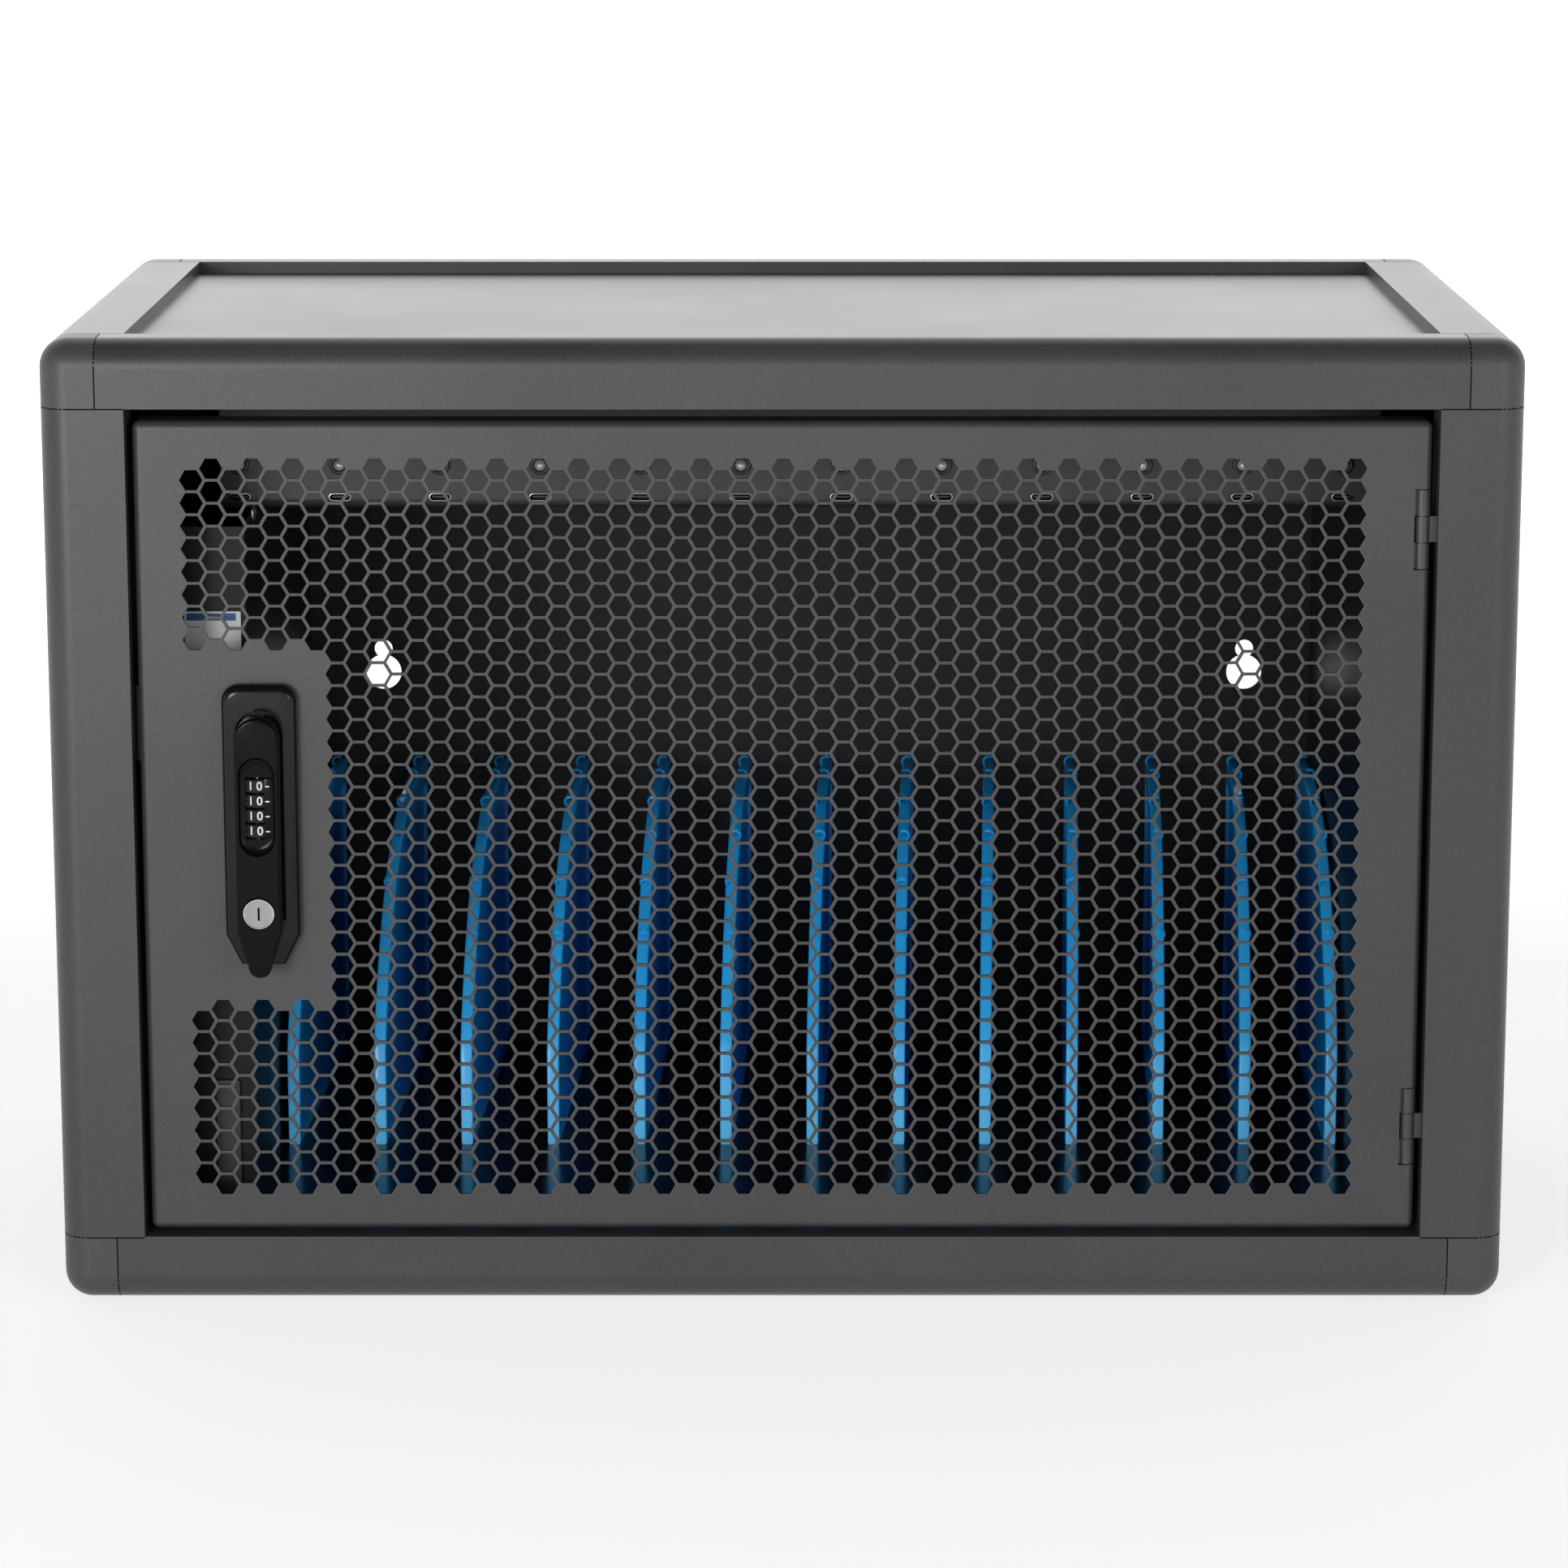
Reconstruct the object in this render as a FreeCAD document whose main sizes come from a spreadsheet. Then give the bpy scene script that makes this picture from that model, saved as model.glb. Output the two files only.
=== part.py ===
import FreeCAD
import Part
import Sketcher
import math
import os
from types import SimpleNamespace

# A device charging cabinet: a tube frame with corner caps and sheet panels, a perforated door with a
# combination swing lever, twelve device bays between moulded dividers, and a charger shelf above them.
# Millimetres. X runs to the right, Y to the rear and Z up. The origin is on the floor, under the middle
# of the whole, with the lever that stands out in front.

doc = FreeCAD.newDocument("charging_cabinet")
sheet = doc.addObject("Spreadsheet::Sheet", "Sizes")

driving = {
    # Overall size and tube frame
    "width": 570,
    "depth": 310,
    "height": 384,
    "edge_round": 11,
    "tube_wall": 1.5,
    "top_rail_tall": 26.5,
    "bottom_rail_tall": 27,
    "rail_deep": 22,
    "side_rail_wide": 31,
    "post_wide": 33,
    "cap_wide": 22,
    "foot_tall": 1.5,
    "foot_radius": 9,
    "foot_inset": 10,
    "foot_setback": 23,
    # Sheet panels
    "sheet": 1.5,
    "top_recess": 5,
    "side_recess": 1,
    "rear_recess": 3,
    "vent_wide": 60,
    "vent_tall": 4,
    "vent_pitch": 10,
    "vent_rise": 60,
    "vent_setback": 40,
    "rear_vent_wide": 26,
    "rear_vent_rise": 130,
    "keyhole_inset_left": 32,
    "keyhole_inset_right": 29,
    "keyhole_rise": 199,
    "keyhole_head": 7.8,
    "keyhole_neck": 4,
    "keyhole_drop": 10.5,
    # Bay lining and dividers
    "left_duct": 75,
    "right_duct": 50,
    "lining_setback": 30,
    "lining_sheet": 1.2,
    "tray_sheet": 1.5,
    "upstand_tall": 126,
    "divider_margin": 5.3,
    "divider_thick": 5,
    "divider_web": 2,
    "divider_rim": 9,
    "divider_setback": 129,
    "divider_tall": 126,
    "divider_shoulder": 80,
    "divider_run": 86,
    # Charger shelf
    "shelf_tall": 70,
    "shelf_setback": 78,
    "shelf_left_over": 14,
    "shelf_right_over": 3,
    "shelf_bend": 4,
    "board_thick": 1.4,
    "board_deep": 120,
    "board_margin": 3,
    "port_inset_left": 7.5,
    "port_inset_right": 14.5,
    "port_wide": 8.9,
    "port_tall": 3.2,
    "port_wall": 0.3,
    "port_deep": 7.5,
    "port_proud": 0.5,
    "port_slip": 0.2,
    "tongue_wide": 6.6,
    "tongue_thick": 0.7,
    "tongue_back": 1,
    "lamp_rise": 17.5,
    "lamp_radius": 2.5,
    "lamp_proud": 3,
    "lamp_slip": 0.1,
    "lamp_bevel": 1.2,
    "bezel_radius": 4,
    "bezel_thick": 1.5,
    # Mains inlet, switch and power supply in the left duct
    "supply_wide": 55,
    "supply_deep": 120,
    "supply_tall": 150,
    "supply_gap": 4,
    "supply_setback": 30,
    "inlet_offset": 22,
    "inlet_rise": 40,
    "inlet_plate_wide": 30,
    "inlet_plate_tall": 66,
    "inlet_plate_thick": 2,
    "inlet_body_wide": 27,
    "inlet_body_tall": 60,
    "inlet_body_deep": 24,
    "inlet_slip": 0.3,
    "socket_wide": 24,
    "socket_tall": 16,
    "socket_deep": 18,
    "socket_chamfer": 5,
    "socket_rise": 20,
    "blade_wide": 2,
    "blade_tall": 4,
    "blade_long": 12,
    "blade_spacing": 7,
    "switch_rise": 48,
    "switch_wide": 13,
    "switch_gap": 0.4,
    "rocker_radius": 7.6,
    "rocker_sink": 4,
    "rocker_proud": 4,
    "rocker_fall": 1.1,
    "trunnion_radius": 1.5,
    "trunnion_long": 1.5,
    # Door and its barrel hinges
    "door_side_gap": 2.5,
    "door_top_gap": 5,
    "door_bottom_gap": 2.2,
    "door_inset": 3,
    "door_deep": 15,
    "door_sheet": 1.5,
    "door_round": 3,
    "mesh_margin_left": 18,
    "mesh_margin_right": 25,
    "mesh_margin_end": 14,
    "hex_pitch": 26.7,
    "hex_web": 3.3,
    "hinge_inset": 42,
    "knuckle_tall": 10,
    "knuckle_gap": 0.3,
    "knuckle_web": 2.4,
    "knuckle_tab": 14,
    "knuckle_tab_thick": 2,
    "hinge_pin_radius": 1.5,
    "notch_gap": 0.4,
    # Combination swing lever lock
    "lock_inset": 47,
    "lock_rise": 201,
    "pad_wide": 75,
    "pad_above": 31,
    "pad_below": 108,
    "housing_wide": 29,
    "housing_above": 19,
    "housing_below": 92,
    "housing_thick": 7,
    "housing_round": 6,
    "housing_toe_wide": 17,
    "housing_toe_tall": 12,
    "edge_soften": 1.5,
    "pivot_well_radius": 9,
    "barrel_radius": 11,
    "barrel_long": 15,
    "barrel_slip": 0.2,
    "well_floor": 0.2,
    "nut_across": 27,
    "nut_thick": 5,
    "spindle_radius": 5,
    "spindle_disc_radius": 8.6,
    "spindle_disc_thick": 1.8,
    "spindle_square": 7,
    "spindle_end": 1,
    "fork_wide": 4.8,
    "fork_half_tall": 3.2,
    "cam_long": 45,
    "cam_half_wide": 8,
    "cam_thick": 3,
    "cam_gap": 0.5,
    "strike_thick": 2,
    "strike_tall": 30,
    "strike_reach": 12,
    "strike_fold": 4,
    "strike_gap": 0.8,
    "lever_half_wide": 8.5,
    "lever_long": 94,
    "lever_taper": 16,
    "lever_tip_wide": 9,
    "lever_thick": 12.6,
    "lever_gap": 0.4,
    "pivot_inset": 4.6,
    "pivot_pin_radius": 1.5,
    "pivot_pin_long": 16,
    "fork_gap": 0.4,
    "window_half_wide": 7,
    "window_tall": 39,
    "window_drop": 26.2,
    "window_deep": 2.5,
    "dial_drop": 27,
    "dial_pitch": 5.9,
    "dial_thick": 5.3,
    "dial_radius": 5.8,
    "dial_gap": 0.4,
    "dial_back_gap": 0.2,
    "axle_radius": 1.2,
    "axle_overlap": 4,
    "plug_drop": 68.3,
    "plug_radius": 6,
    "plug_proud": 0.4,
    "plug_back_gap": 0.6,
    "keyway_wide": 1.8,
    "keyway_tall": 7.2,
    "keyway_deep": 6,
    # Shared clearances
    "running_gap": 0.05,
    "overrun": 2,
}

vent_count = 9
divider_count = 13
port_count = 12
dial_count = 4
dial_faces = 10
lamp_sides = 12
port_end_sides = 4
tolerance = 1e-6


class Size:
    """A length that carries its number and the sheet expression that it comes from."""

    def __init__(self, text, value):
        self.text = text
        self.value = value

    def __add__(self, other):
        other = as_size(other)
        return Size(f"({self.text} + {other.text})", self.value + other.value)

    def __radd__(self, other):
        return as_size(other) + self

    def __sub__(self, other):
        other = as_size(other)
        return Size(f"({self.text} - {other.text})", self.value - other.value)

    def __rsub__(self, other):
        return as_size(other) - self

    def __mul__(self, other):
        other = as_size(other)
        return Size(f"({self.text} * {other.text})", self.value * other.value)

    __rmul__ = __mul__

    def __truediv__(self, other):
        other = as_size(other)
        return Size(f"({self.text} / {other.text})", self.value / other.value)

    def __neg__(self):
        return Size(f"(0 - {self.text})", -self.value)

    def root(self):
        return Size(f"sqrt({self.text})", math.sqrt(self.value))


def as_size(thing):
    if isinstance(thing, Size):
        return thing
    if thing < 0:
        return Size(f"(0 - {-thing})", thing)
    return Size(str(thing), thing)


def fill_sheet():
    """Write the driving sizes into the sheet and hand them back as bound lengths."""
    for row, (alias, number) in enumerate(driving.items(), start=1):
        sheet.set(f"A{row}", alias)
        sheet.set(f"B{row}", str(number))
        sheet.setAlias(f"B{row}", alias)
    doc.recompute()
    return SimpleNamespace(**{alias: Size(f"Sizes.{alias}", sheet.get(alias)) for alias in driving})


size = fill_sheet()
pieces = {}

# Places that several pieces share
half_wide = size.width / 2
half_deep = size.depth / 2
lock_proud = size.housing_thick + size.lever_gap + size.lever_thick + size.plug_proud - size.door_inset
middle = lock_proud / 2
front = middle - half_deep
rear = middle + half_deep
rail_inner = front + size.rail_deep
rear_inner = rear - size.rail_deep
floor_top = size.foot_tall + size.bottom_rail_tall
head = size.height - size.top_rail_tall
post_inner = half_wide - size.post_wide
side_inner = half_wide - size.side_rail_wide
side_panel_inner = half_wide - size.side_recess - size.sheet
rear_panel_back = rear - size.rear_recess
rear_panel_front = rear_panel_back - size.sheet
top_panel_under = size.height - size.top_recess - size.sheet

bay_left = size.left_duct - half_wide
bay_right = half_wide - size.right_duct
lining_front = front + size.lining_setback
tray_top = floor_top + size.tray_sheet

shelf_under = top_panel_under - size.shelf_tall
shelf_front = front + size.shelf_setback
shelf_rear = rear_inner
shelf_left = bay_left - size.shelf_left_over
shelf_right = bay_right + size.shelf_right_over
board_top = shelf_under + size.sheet + size.board_thick
port_first = shelf_left + size.port_inset_left
port_span = shelf_right - size.port_inset_right - port_first
port_level = board_top + size.port_tall / 2
lamp_level = shelf_under + size.lamp_rise

inlet_x = bay_left - size.inlet_offset
inlet_low = floor_top + size.inlet_rise
inlet_high = inlet_low + size.inlet_plate_tall
inlet_middle = (inlet_low + inlet_high) / 2
switch_level = inlet_low + size.switch_rise
rocker_y = rear_panel_back + size.inlet_plate_thick - size.rocker_sink

door_left = -(post_inner - size.door_side_gap)
door_right = post_inner - size.door_side_gap
door_bottom = floor_top + size.door_bottom_gap
door_top = head - size.door_top_gap
door_front = front + size.door_inset
door_back = door_front + size.door_sheet
door_rear = door_front + size.door_deep
hinge_x = door_right - size.door_round
hinge_y = door_front + size.door_round
hinge_low = door_bottom + size.hinge_inset
hinge_span = door_top - size.hinge_inset - hinge_low

lock_x = door_left + size.lock_inset
spindle_z = door_bottom + size.lock_rise
housing_front = door_front - size.housing_thick
well_floor = door_front + size.well_floor
barrel_end = door_front + size.barrel_long
strike_front = door_rear + size.strike_gap
strike_rear = strike_front + size.strike_thick
cam_front = strike_rear + size.cam_gap
cam_rear = cam_front + size.cam_thick
lever_back = housing_front - size.lever_gap
lever_front = lever_back - size.lever_thick
pivot_y = lever_back - size.pivot_inset
dial_y = lever_back - size.dial_back_gap - size.dial_radius
dial_top = spindle_z - size.dial_drop + size.dial_pitch * (dial_count - 1) / 2
dial_room_top = dial_top + size.dial_pitch / 2 + size.dial_gap
dial_room_bottom = dial_top - size.dial_pitch * (dial_count - 1) - size.dial_pitch / 2 - size.dial_gap
plug_z = spindle_z - size.plug_drop
across_x = FreeCAD.Vector(1, 0, 0)
across_y = FreeCAD.Vector(0, 1, 0)


# Helpers for sketches and features

def keep(piece):
    pieces[piece.Label] = piece
    return piece


def new_body(label):
    body = doc.addObject("PartDesign::Body", label)
    body.Label = label
    return body


def origin_feature(body, role):
    return next(feature for feature in body.Origin.OriginFeatures if feature.Role == role)


def circle(x, y, radius):
    return SimpleNamespace(x=as_size(x), y=as_size(y), radius=radius)


def box(x_low, x_high, y_low, y_high):
    return [(x_low, y_low), (x_high, y_low), (x_high, y_high), (x_low, y_high)]


def stadium(x, y, half_long, half_short):
    """A slot with round ends that stands along the sketch's second axis."""
    run = half_long - half_short
    turn = half_short
    return [
        (x + turn, y - run, turn),
        (x + turn, y + run),
        (x, y + half_long, turn),
        (x - turn, y + run, turn),
        (x - turn, y - run),
        (x, y - half_long, turn),
    ]


def polygon(x, y, radius, sides):
    """A regular outline in place of a small circle that repeats many times."""
    turns = [number * 2 * math.pi / sides for number in range(sides)]
    return [(x + radius * math.cos(turn), y + radius * math.sin(turn)) for turn in turns]


def port_outline(half_long, half_short):
    """The round-ended outline of the first socket, with a few straight sides at each end."""
    run = half_long - half_short
    points = []
    for end in (1, -1):
        for number in range(port_end_sides + 1):
            turn = number * math.pi / port_end_sides - math.pi / 2
            x = port_first + (run + half_short * math.cos(turn)) * end
            points.append((x, port_level + half_short * math.sin(turn) * end))
    return points


def rounded_section(low, high, bottom, top, radius, upper):
    """A rectangle whose upper or lower corner at the low end is rounded."""
    if upper:
        return [(low, bottom), (high, bottom), (high, top), (low + radius, top), (low, top - radius, radius)]
    return [(low, bottom + radius), (low + radius, bottom, radius), (high, bottom), (high, top), (low, top)]


def arc_middle(start, end, turn):
    """The middle of an arc of the given radius, which turns left if the radius is positive."""
    chord = end - start
    sideways = FreeCAD.Vector(-chord.y, chord.x, 0).normalize()
    reach = math.sqrt(max(turn * turn - chord.Length * chord.Length / 4, 0))
    return (start + end) * 0.5 + sideways * math.copysign(abs(turn) - reach, -turn)


def hold_point(sketch, geometry, vertex, x, y):
    for kind, place in (("DistanceX", x), ("DistanceY", y)):
        index = sketch.addConstraint(Sketcher.Constraint(kind, -1, 1, geometry, vertex, float(place.value)))
        sketch.setExpression(f"Constraints[{index}]", place.text)


def hold_radius(sketch, geometry, radius):
    index = sketch.addConstraint(Sketcher.Constraint("Radius", geometry, float(radius.value)))
    sketch.setExpression(f"Constraints[{index}]", radius.text)


def draw_circle(sketch, shape):
    middle = FreeCAD.Vector(shape.x.value, shape.y.value, 0)
    upward = FreeCAD.Vector(0, 0, 1)
    geometry = sketch.addGeometry(Part.Circle(middle, upward, shape.radius.value), False)
    hold_point(sketch, geometry, 3, shape.x, shape.y)
    hold_radius(sketch, geometry, shape.radius)


def draw_outline(sketch, points):
    """A closed outline: a point with a third value is reached by an arc of that radius."""
    first = sketch.GeometryCount
    corners = [FreeCAD.Vector(as_size(point[0]).value, as_size(point[1]).value, 0) for point in points]
    for number, point in enumerate(points):
        start = corners[number - 1]
        end = corners[number]
        if len(point) == 2:
            sketch.addGeometry(Part.LineSegment(start, end), False)
        else:
            sketch.addGeometry(Part.Arc(start, arc_middle(start, end, point[2].value), end), False)
    for number, point in enumerate(points):
        here = first + number
        after = first + (number + 1) % len(points)
        sketch.addConstraint(Sketcher.Constraint("Coincident", here, 2, after, 1))
        hold_point(sketch, here, 2, as_size(point[0]), as_size(point[1]))
        if len(point) == 3:
            hold_radius(sketch, here, point[2])


def sketch_at(body, axis, level, shapes):
    """A sketch square to the axis at a level along it. The Y sketch faces the front."""
    planes = {"x": "YZ_Plane", "y": "XZ_Plane", "z": "XY_Plane"}
    sketch = body.newObject("Sketcher::SketchObject", f"{body.Label}_sketch")
    sketch.AttachmentSupport = [(origin_feature(body, planes[axis]), "")]
    sketch.MapMode = "FlatFace"
    lift = -level if axis == "y" else level
    sketch.setExpression("AttachmentOffset.Base.z", lift.text)
    for shape in shapes:
        if isinstance(shape, list):
            draw_outline(sketch, shape)
        else:
            draw_circle(sketch, shape)
    return sketch


def pad(body, axis, low, high, *shapes):
    level = high if axis == "y" else low
    feature = body.newObject("PartDesign::Pad", f"{body.Label}_pad")
    feature.Profile = sketch_at(body, axis, level, shapes)
    feature.setExpression("Length", (high - low).text)
    body.Tip = feature
    return feature


def pocket(body, axis, low, high, *shapes):
    level = low if axis == "y" else high
    feature = body.newObject("PartDesign::Pocket", f"{body.Label}_pocket")
    feature.Profile = sketch_at(body, axis, level, shapes)
    feature.setExpression("Length", (high - low).text)
    body.Tip = feature
    return feature


def repeat_along(body, features, role, span, count):
    doc.recompute()
    pattern = body.newObject("PartDesign::LinearPattern", f"{body.Label}_row")
    pattern.Originals = features
    pattern.Direction = (origin_feature(body, role), [""])
    pattern.setExpression("Length", span.text)
    pattern.Occurrences = count
    body.Tip = pattern
    return pattern


def dress_edges(body, feature, kind, length, chosen):
    """Fillet or chamfer the edges of a feature that a test picks out."""
    doc.recompute()
    names = [f"Edge{number}" for number, edge in enumerate(feature.Shape.Edges, start=1) if chosen(edge)]
    dressing = body.newObject(f"PartDesign::{kind}", f"{body.Label}_{kind.lower()}")
    dressing.Base = (feature, names)
    dressing.setExpression({"Fillet": "Radius", "Chamfer": "Size"}[kind], length.text)
    body.Tip = dressing
    return dressing


def on_level(edge, axis, place):
    """Whether an edge lies in the plane at a place along an axis."""
    return all(abs(getattr(vertex.Point, axis) - place.value) < tolerance for vertex in edge.Vertexes)


def runs_along(edge, axis):
    ends = [vertex.Point for vertex in edge.Vertexes]
    others = [name for name in "xyz" if name != axis]
    return all(abs(getattr(ends[0], name) - getattr(ends[-1], name)) < tolerance for name in others)


def mirrored(source, label, normal):
    """A mirror image across the middle of the cabinet's width or depth."""
    copy = doc.addObject("Part::Mirroring", label)
    copy.Label = label
    copy.Source = source
    copy.Normal = normal
    copy.setExpression("Base.y", middle.text)
    return copy


def grouped(label, members):
    group = doc.addObject("Part::Compound", label)
    group.Label = label
    group.Links = members
    return group


def four_corners(label, first):
    """The piece at the front left corner with its mirror images at the other three."""
    second = mirrored(first, f"{label}_front_right", across_x)
    third = mirrored(first, f"{label}_rear_left", across_y)
    fourth = mirrored(second, f"{label}_rear_right", across_y)
    return keep(grouped(label, [first, second, third, fourth]))


# Tube frame, corner caps and feet

def tube(label, axis, low, high, section, upper):
    """A hollow rail or post whose outer corner is rounded."""
    inner_low, inner_high, inner_bottom, inner_top = section
    wall = size.tube_wall
    outer = rounded_section(inner_low, inner_high, inner_bottom, inner_top, size.edge_round, upper)
    hollow = rounded_section(inner_low + wall, inner_high - wall, inner_bottom + wall, inner_top - wall,
                             size.edge_round - wall, upper)
    body = new_body(label)
    pad(body, axis, low, high, outer, hollow)
    return keep(body)


def make_frame():
    rail_half = half_wide - size.cap_wide
    levels = {"top": (head, size.height, True), "bottom": (size.foot_tall, floor_top, False)}
    for name, (low, high, upper) in levels.items():
        long_rail = tube(f"{name}_front_rail", "x", -rail_half, rail_half, (front, rail_inner, low, high), upper)
        keep(mirrored(long_rail, f"{name}_rear_rail", across_y))
        side_section = (-half_wide, -side_inner, low, high)
        side_rail = tube(f"{name}_left_rail", "y", rail_inner, rear_inner, side_section, upper)
        keep(mirrored(side_rail, f"{name}_right_rail", across_x))
    post = tube("front_left_post", "z", floor_top, head, (-half_wide, -post_inner, front, rail_inner), False)
    keep(mirrored(post, "front_right_post", across_x))
    rear_post = keep(mirrored(post, "rear_left_post", across_y))
    keep(mirrored(rear_post, "rear_right_post", across_x))


def make_corner_caps(label, low, high, outer):
    """Four moulded caps with ball corners, which close the ends of the rails and posts."""
    body = new_body(f"{label}_front_left")
    block = pad(body, "z", low, high, box(-half_wide, -half_wide + size.cap_wide, front, rail_inner))
    corner = FreeCAD.Vector(-half_wide.value, front.value, outer.value)

    def at_corner(edge):
        return any(vertex.Point.distanceToPoint(corner) < tolerance for vertex in edge.Vertexes)

    dress_edges(body, block, "Fillet", size.edge_round, at_corner)
    four_corners(label, body)


def make_feet():
    body = new_body("foot_pads_front_left")
    foot = circle(-side_inner - size.foot_inset, rail_inner + size.foot_setback, size.foot_radius)
    pad(body, "z", as_size(0), size.foot_tall, foot)
    four_corners("foot_pads", body)


# Sheet panels

def make_panels():
    top = new_body("top_panel")
    deck = box(-side_inner, side_inner, rail_inner, rear_inner)
    pad(top, "z", top_panel_under, top_panel_under + size.sheet, deck)
    keep(top)
    bottom = new_body("bottom_panel")
    pad(bottom, "z", floor_top - size.sheet, floor_top, deck)
    keep(bottom)
    side = new_body("left_side_panel")
    pad(side, "x", size.side_recess - half_wide, -side_panel_inner, box(rail_inner, rear_inner, floor_top, head))
    vent_rear = rear_inner - size.vent_setback
    vent_low = floor_top + size.vent_rise
    slot = box(vent_rear - size.vent_wide, vent_rear, vent_low, vent_low + size.vent_tall)
    vent = pocket(side, "x", -half_wide, -side_panel_inner + size.overrun, slot)
    repeat_along(side, [vent], "Z_Axis", size.vent_pitch * (vent_count - 1), vent_count)
    keep(side)
    keep(mirrored(side, "right_side_panel", across_x))


def make_rear_panel():
    """The rear sheet with two keyholes for wall screws, the inlet cut-out and the duct's vents."""
    body = new_body("rear_panel")
    pad(body, "y", rear_panel_front, rear_panel_back, box(-post_inner, post_inner, floor_top, head))
    cut = (rear_panel_front - size.overrun, rear_panel_back + size.overrun)
    places = [bay_left + size.keyhole_inset_left, bay_right - size.keyhole_inset_right]
    pocket(body, "y", *cut, *[circle(x, size.keyhole_rise, size.keyhole_head) for x in places])
    neck_z = size.keyhole_rise + size.keyhole_drop
    pocket(body, "y", *cut, *[circle(x, neck_z, size.keyhole_neck) for x in places])
    half = size.inlet_body_wide / 2 + size.inlet_slip
    tall = size.inlet_body_tall / 2 + size.inlet_slip
    pocket(body, "y", *cut, box(inlet_x - half, inlet_x + half, inlet_middle - tall, inlet_middle + tall))
    vent_half = size.rear_vent_wide / 2
    vent_low = floor_top + size.rear_vent_rise
    slot = box(inlet_x - vent_half, inlet_x + vent_half, vent_low, vent_low + size.vent_tall)
    vent = pocket(body, "y", *cut, slot)
    repeat_along(body, [vent], "Z_Axis", size.vent_pitch * (vent_count - 1), vent_count)
    keep(body)


# Bay lining, divider tray and dividers

def make_lining():
    thick = size.lining_sheet
    wall = new_body("inner_left_wall")
    pad(wall, "z", floor_top, shelf_under, [
        (-side_panel_inner, lining_front),
        (bay_left, lining_front),
        (bay_left, rear_panel_front),
        (bay_left - thick, rear_panel_front),
        (bay_left - thick, lining_front + thick),
        (-side_panel_inner, lining_front + thick),
    ])
    keep(wall)
    wall = new_body("inner_right_wall")
    pad(wall, "z", floor_top, shelf_under, [
        (bay_right, lining_front),
        (side_panel_inner, lining_front),
        (side_panel_inner, lining_front + thick),
        (bay_right + thick, lining_front + thick),
        (bay_right + thick, rear_panel_front),
        (bay_right, rear_panel_front),
    ])
    keep(wall)


def make_tray():
    """The bay floor, folded up at the rear behind the dividers."""
    body = new_body("divider_tray")
    fold = rear_panel_front - size.tray_sheet
    pad(body, "x", bay_left, bay_right, [
        (lining_front, floor_top),
        (rear_panel_front, floor_top),
        (rear_panel_front, tray_top + size.upstand_tall),
        (fold, tray_top + size.upstand_tall),
        (fold, tray_top),
        (lining_front, tray_top),
    ])
    keep(body)


def make_dividers():
    """Moulded plates with a thick rim round a thin web; the front top edge sweeps up in an arc."""
    low = front + size.divider_setback
    high = rear_panel_front - size.tray_sheet
    top = tray_top + size.divider_tall
    knee = low + size.divider_run
    rise = size.divider_tall - size.divider_shoulder
    bend = (size.divider_run * size.divider_run + rise * rise) / (2 * rise)
    rim = size.divider_rim
    inner_bend = bend - rim
    inner_run = size.divider_run - rim
    inner_shoulder = top - bend + (inner_bend * inner_bend - inner_run * inner_run).root()
    outline = [(low, tray_top), (high, tray_top), (high, top), (knee, top), (low, top - rise, bend)]
    recess = [
        (low + rim, tray_top + rim),
        (high - rim, tray_top + rim),
        (high - rim, top - rim),
        (knee, top - rim),
        (low + rim, inner_shoulder, inner_bend),
    ]
    first = bay_left + size.divider_margin
    pitch = (bay_right - size.divider_margin - first) / (divider_count - 1)
    for number in range(divider_count):
        x = first + pitch * number
        body = new_body(f"divider_{number + 1:02d}")
        pad(body, "x", x - size.divider_thick / 2, x + size.divider_thick / 2, outline)
        pocket(body, "x", x - size.divider_thick / 2, x - size.divider_web / 2, recess)
        pocket(body, "x", x + size.divider_web / 2, x + size.divider_thick / 2, recess)
        keep(body)


# Charger shelf with its ports and lamps

def make_shelf():
    body = new_body("charger_tray")
    block = pad(body, "z", shelf_under, top_panel_under, box(shelf_left, shelf_right, shelf_front, shelf_rear))

    def is_bend(edge):
        return on_level(edge, "y", shelf_front) and on_level(edge, "z", shelf_under)

    dress_edges(body, block, "Fillet", size.shelf_bend, is_bend)
    wall = size.sheet
    hollow = box(shelf_left + wall, shelf_right - wall, shelf_front + wall, shelf_rear - wall)
    pocket(body, "z", shelf_under + wall, top_panel_under, hollow)
    slip = size.port_slip
    port_hole = port_outline(size.port_wide / 2 + slip, size.port_tall / 2 + slip)
    lamp_hole = polygon(port_first, lamp_level, size.lamp_radius + size.lamp_slip, lamp_sides)
    holes = pocket(body, "y", shelf_front - size.overrun, shelf_front + wall + size.overrun, port_hole, lamp_hole)
    repeat_along(body, [holes], "X_Axis", port_span, port_count)
    keep(body)
    board = new_body("charger_board")
    edge = wall + size.board_margin
    board_front = shelf_front + wall + size.port_proud
    plan = box(shelf_left + edge, shelf_right - edge, board_front, board_front + size.board_deep)
    pad(board, "z", shelf_under + wall, board_top, plan)
    keep(board)


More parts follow.
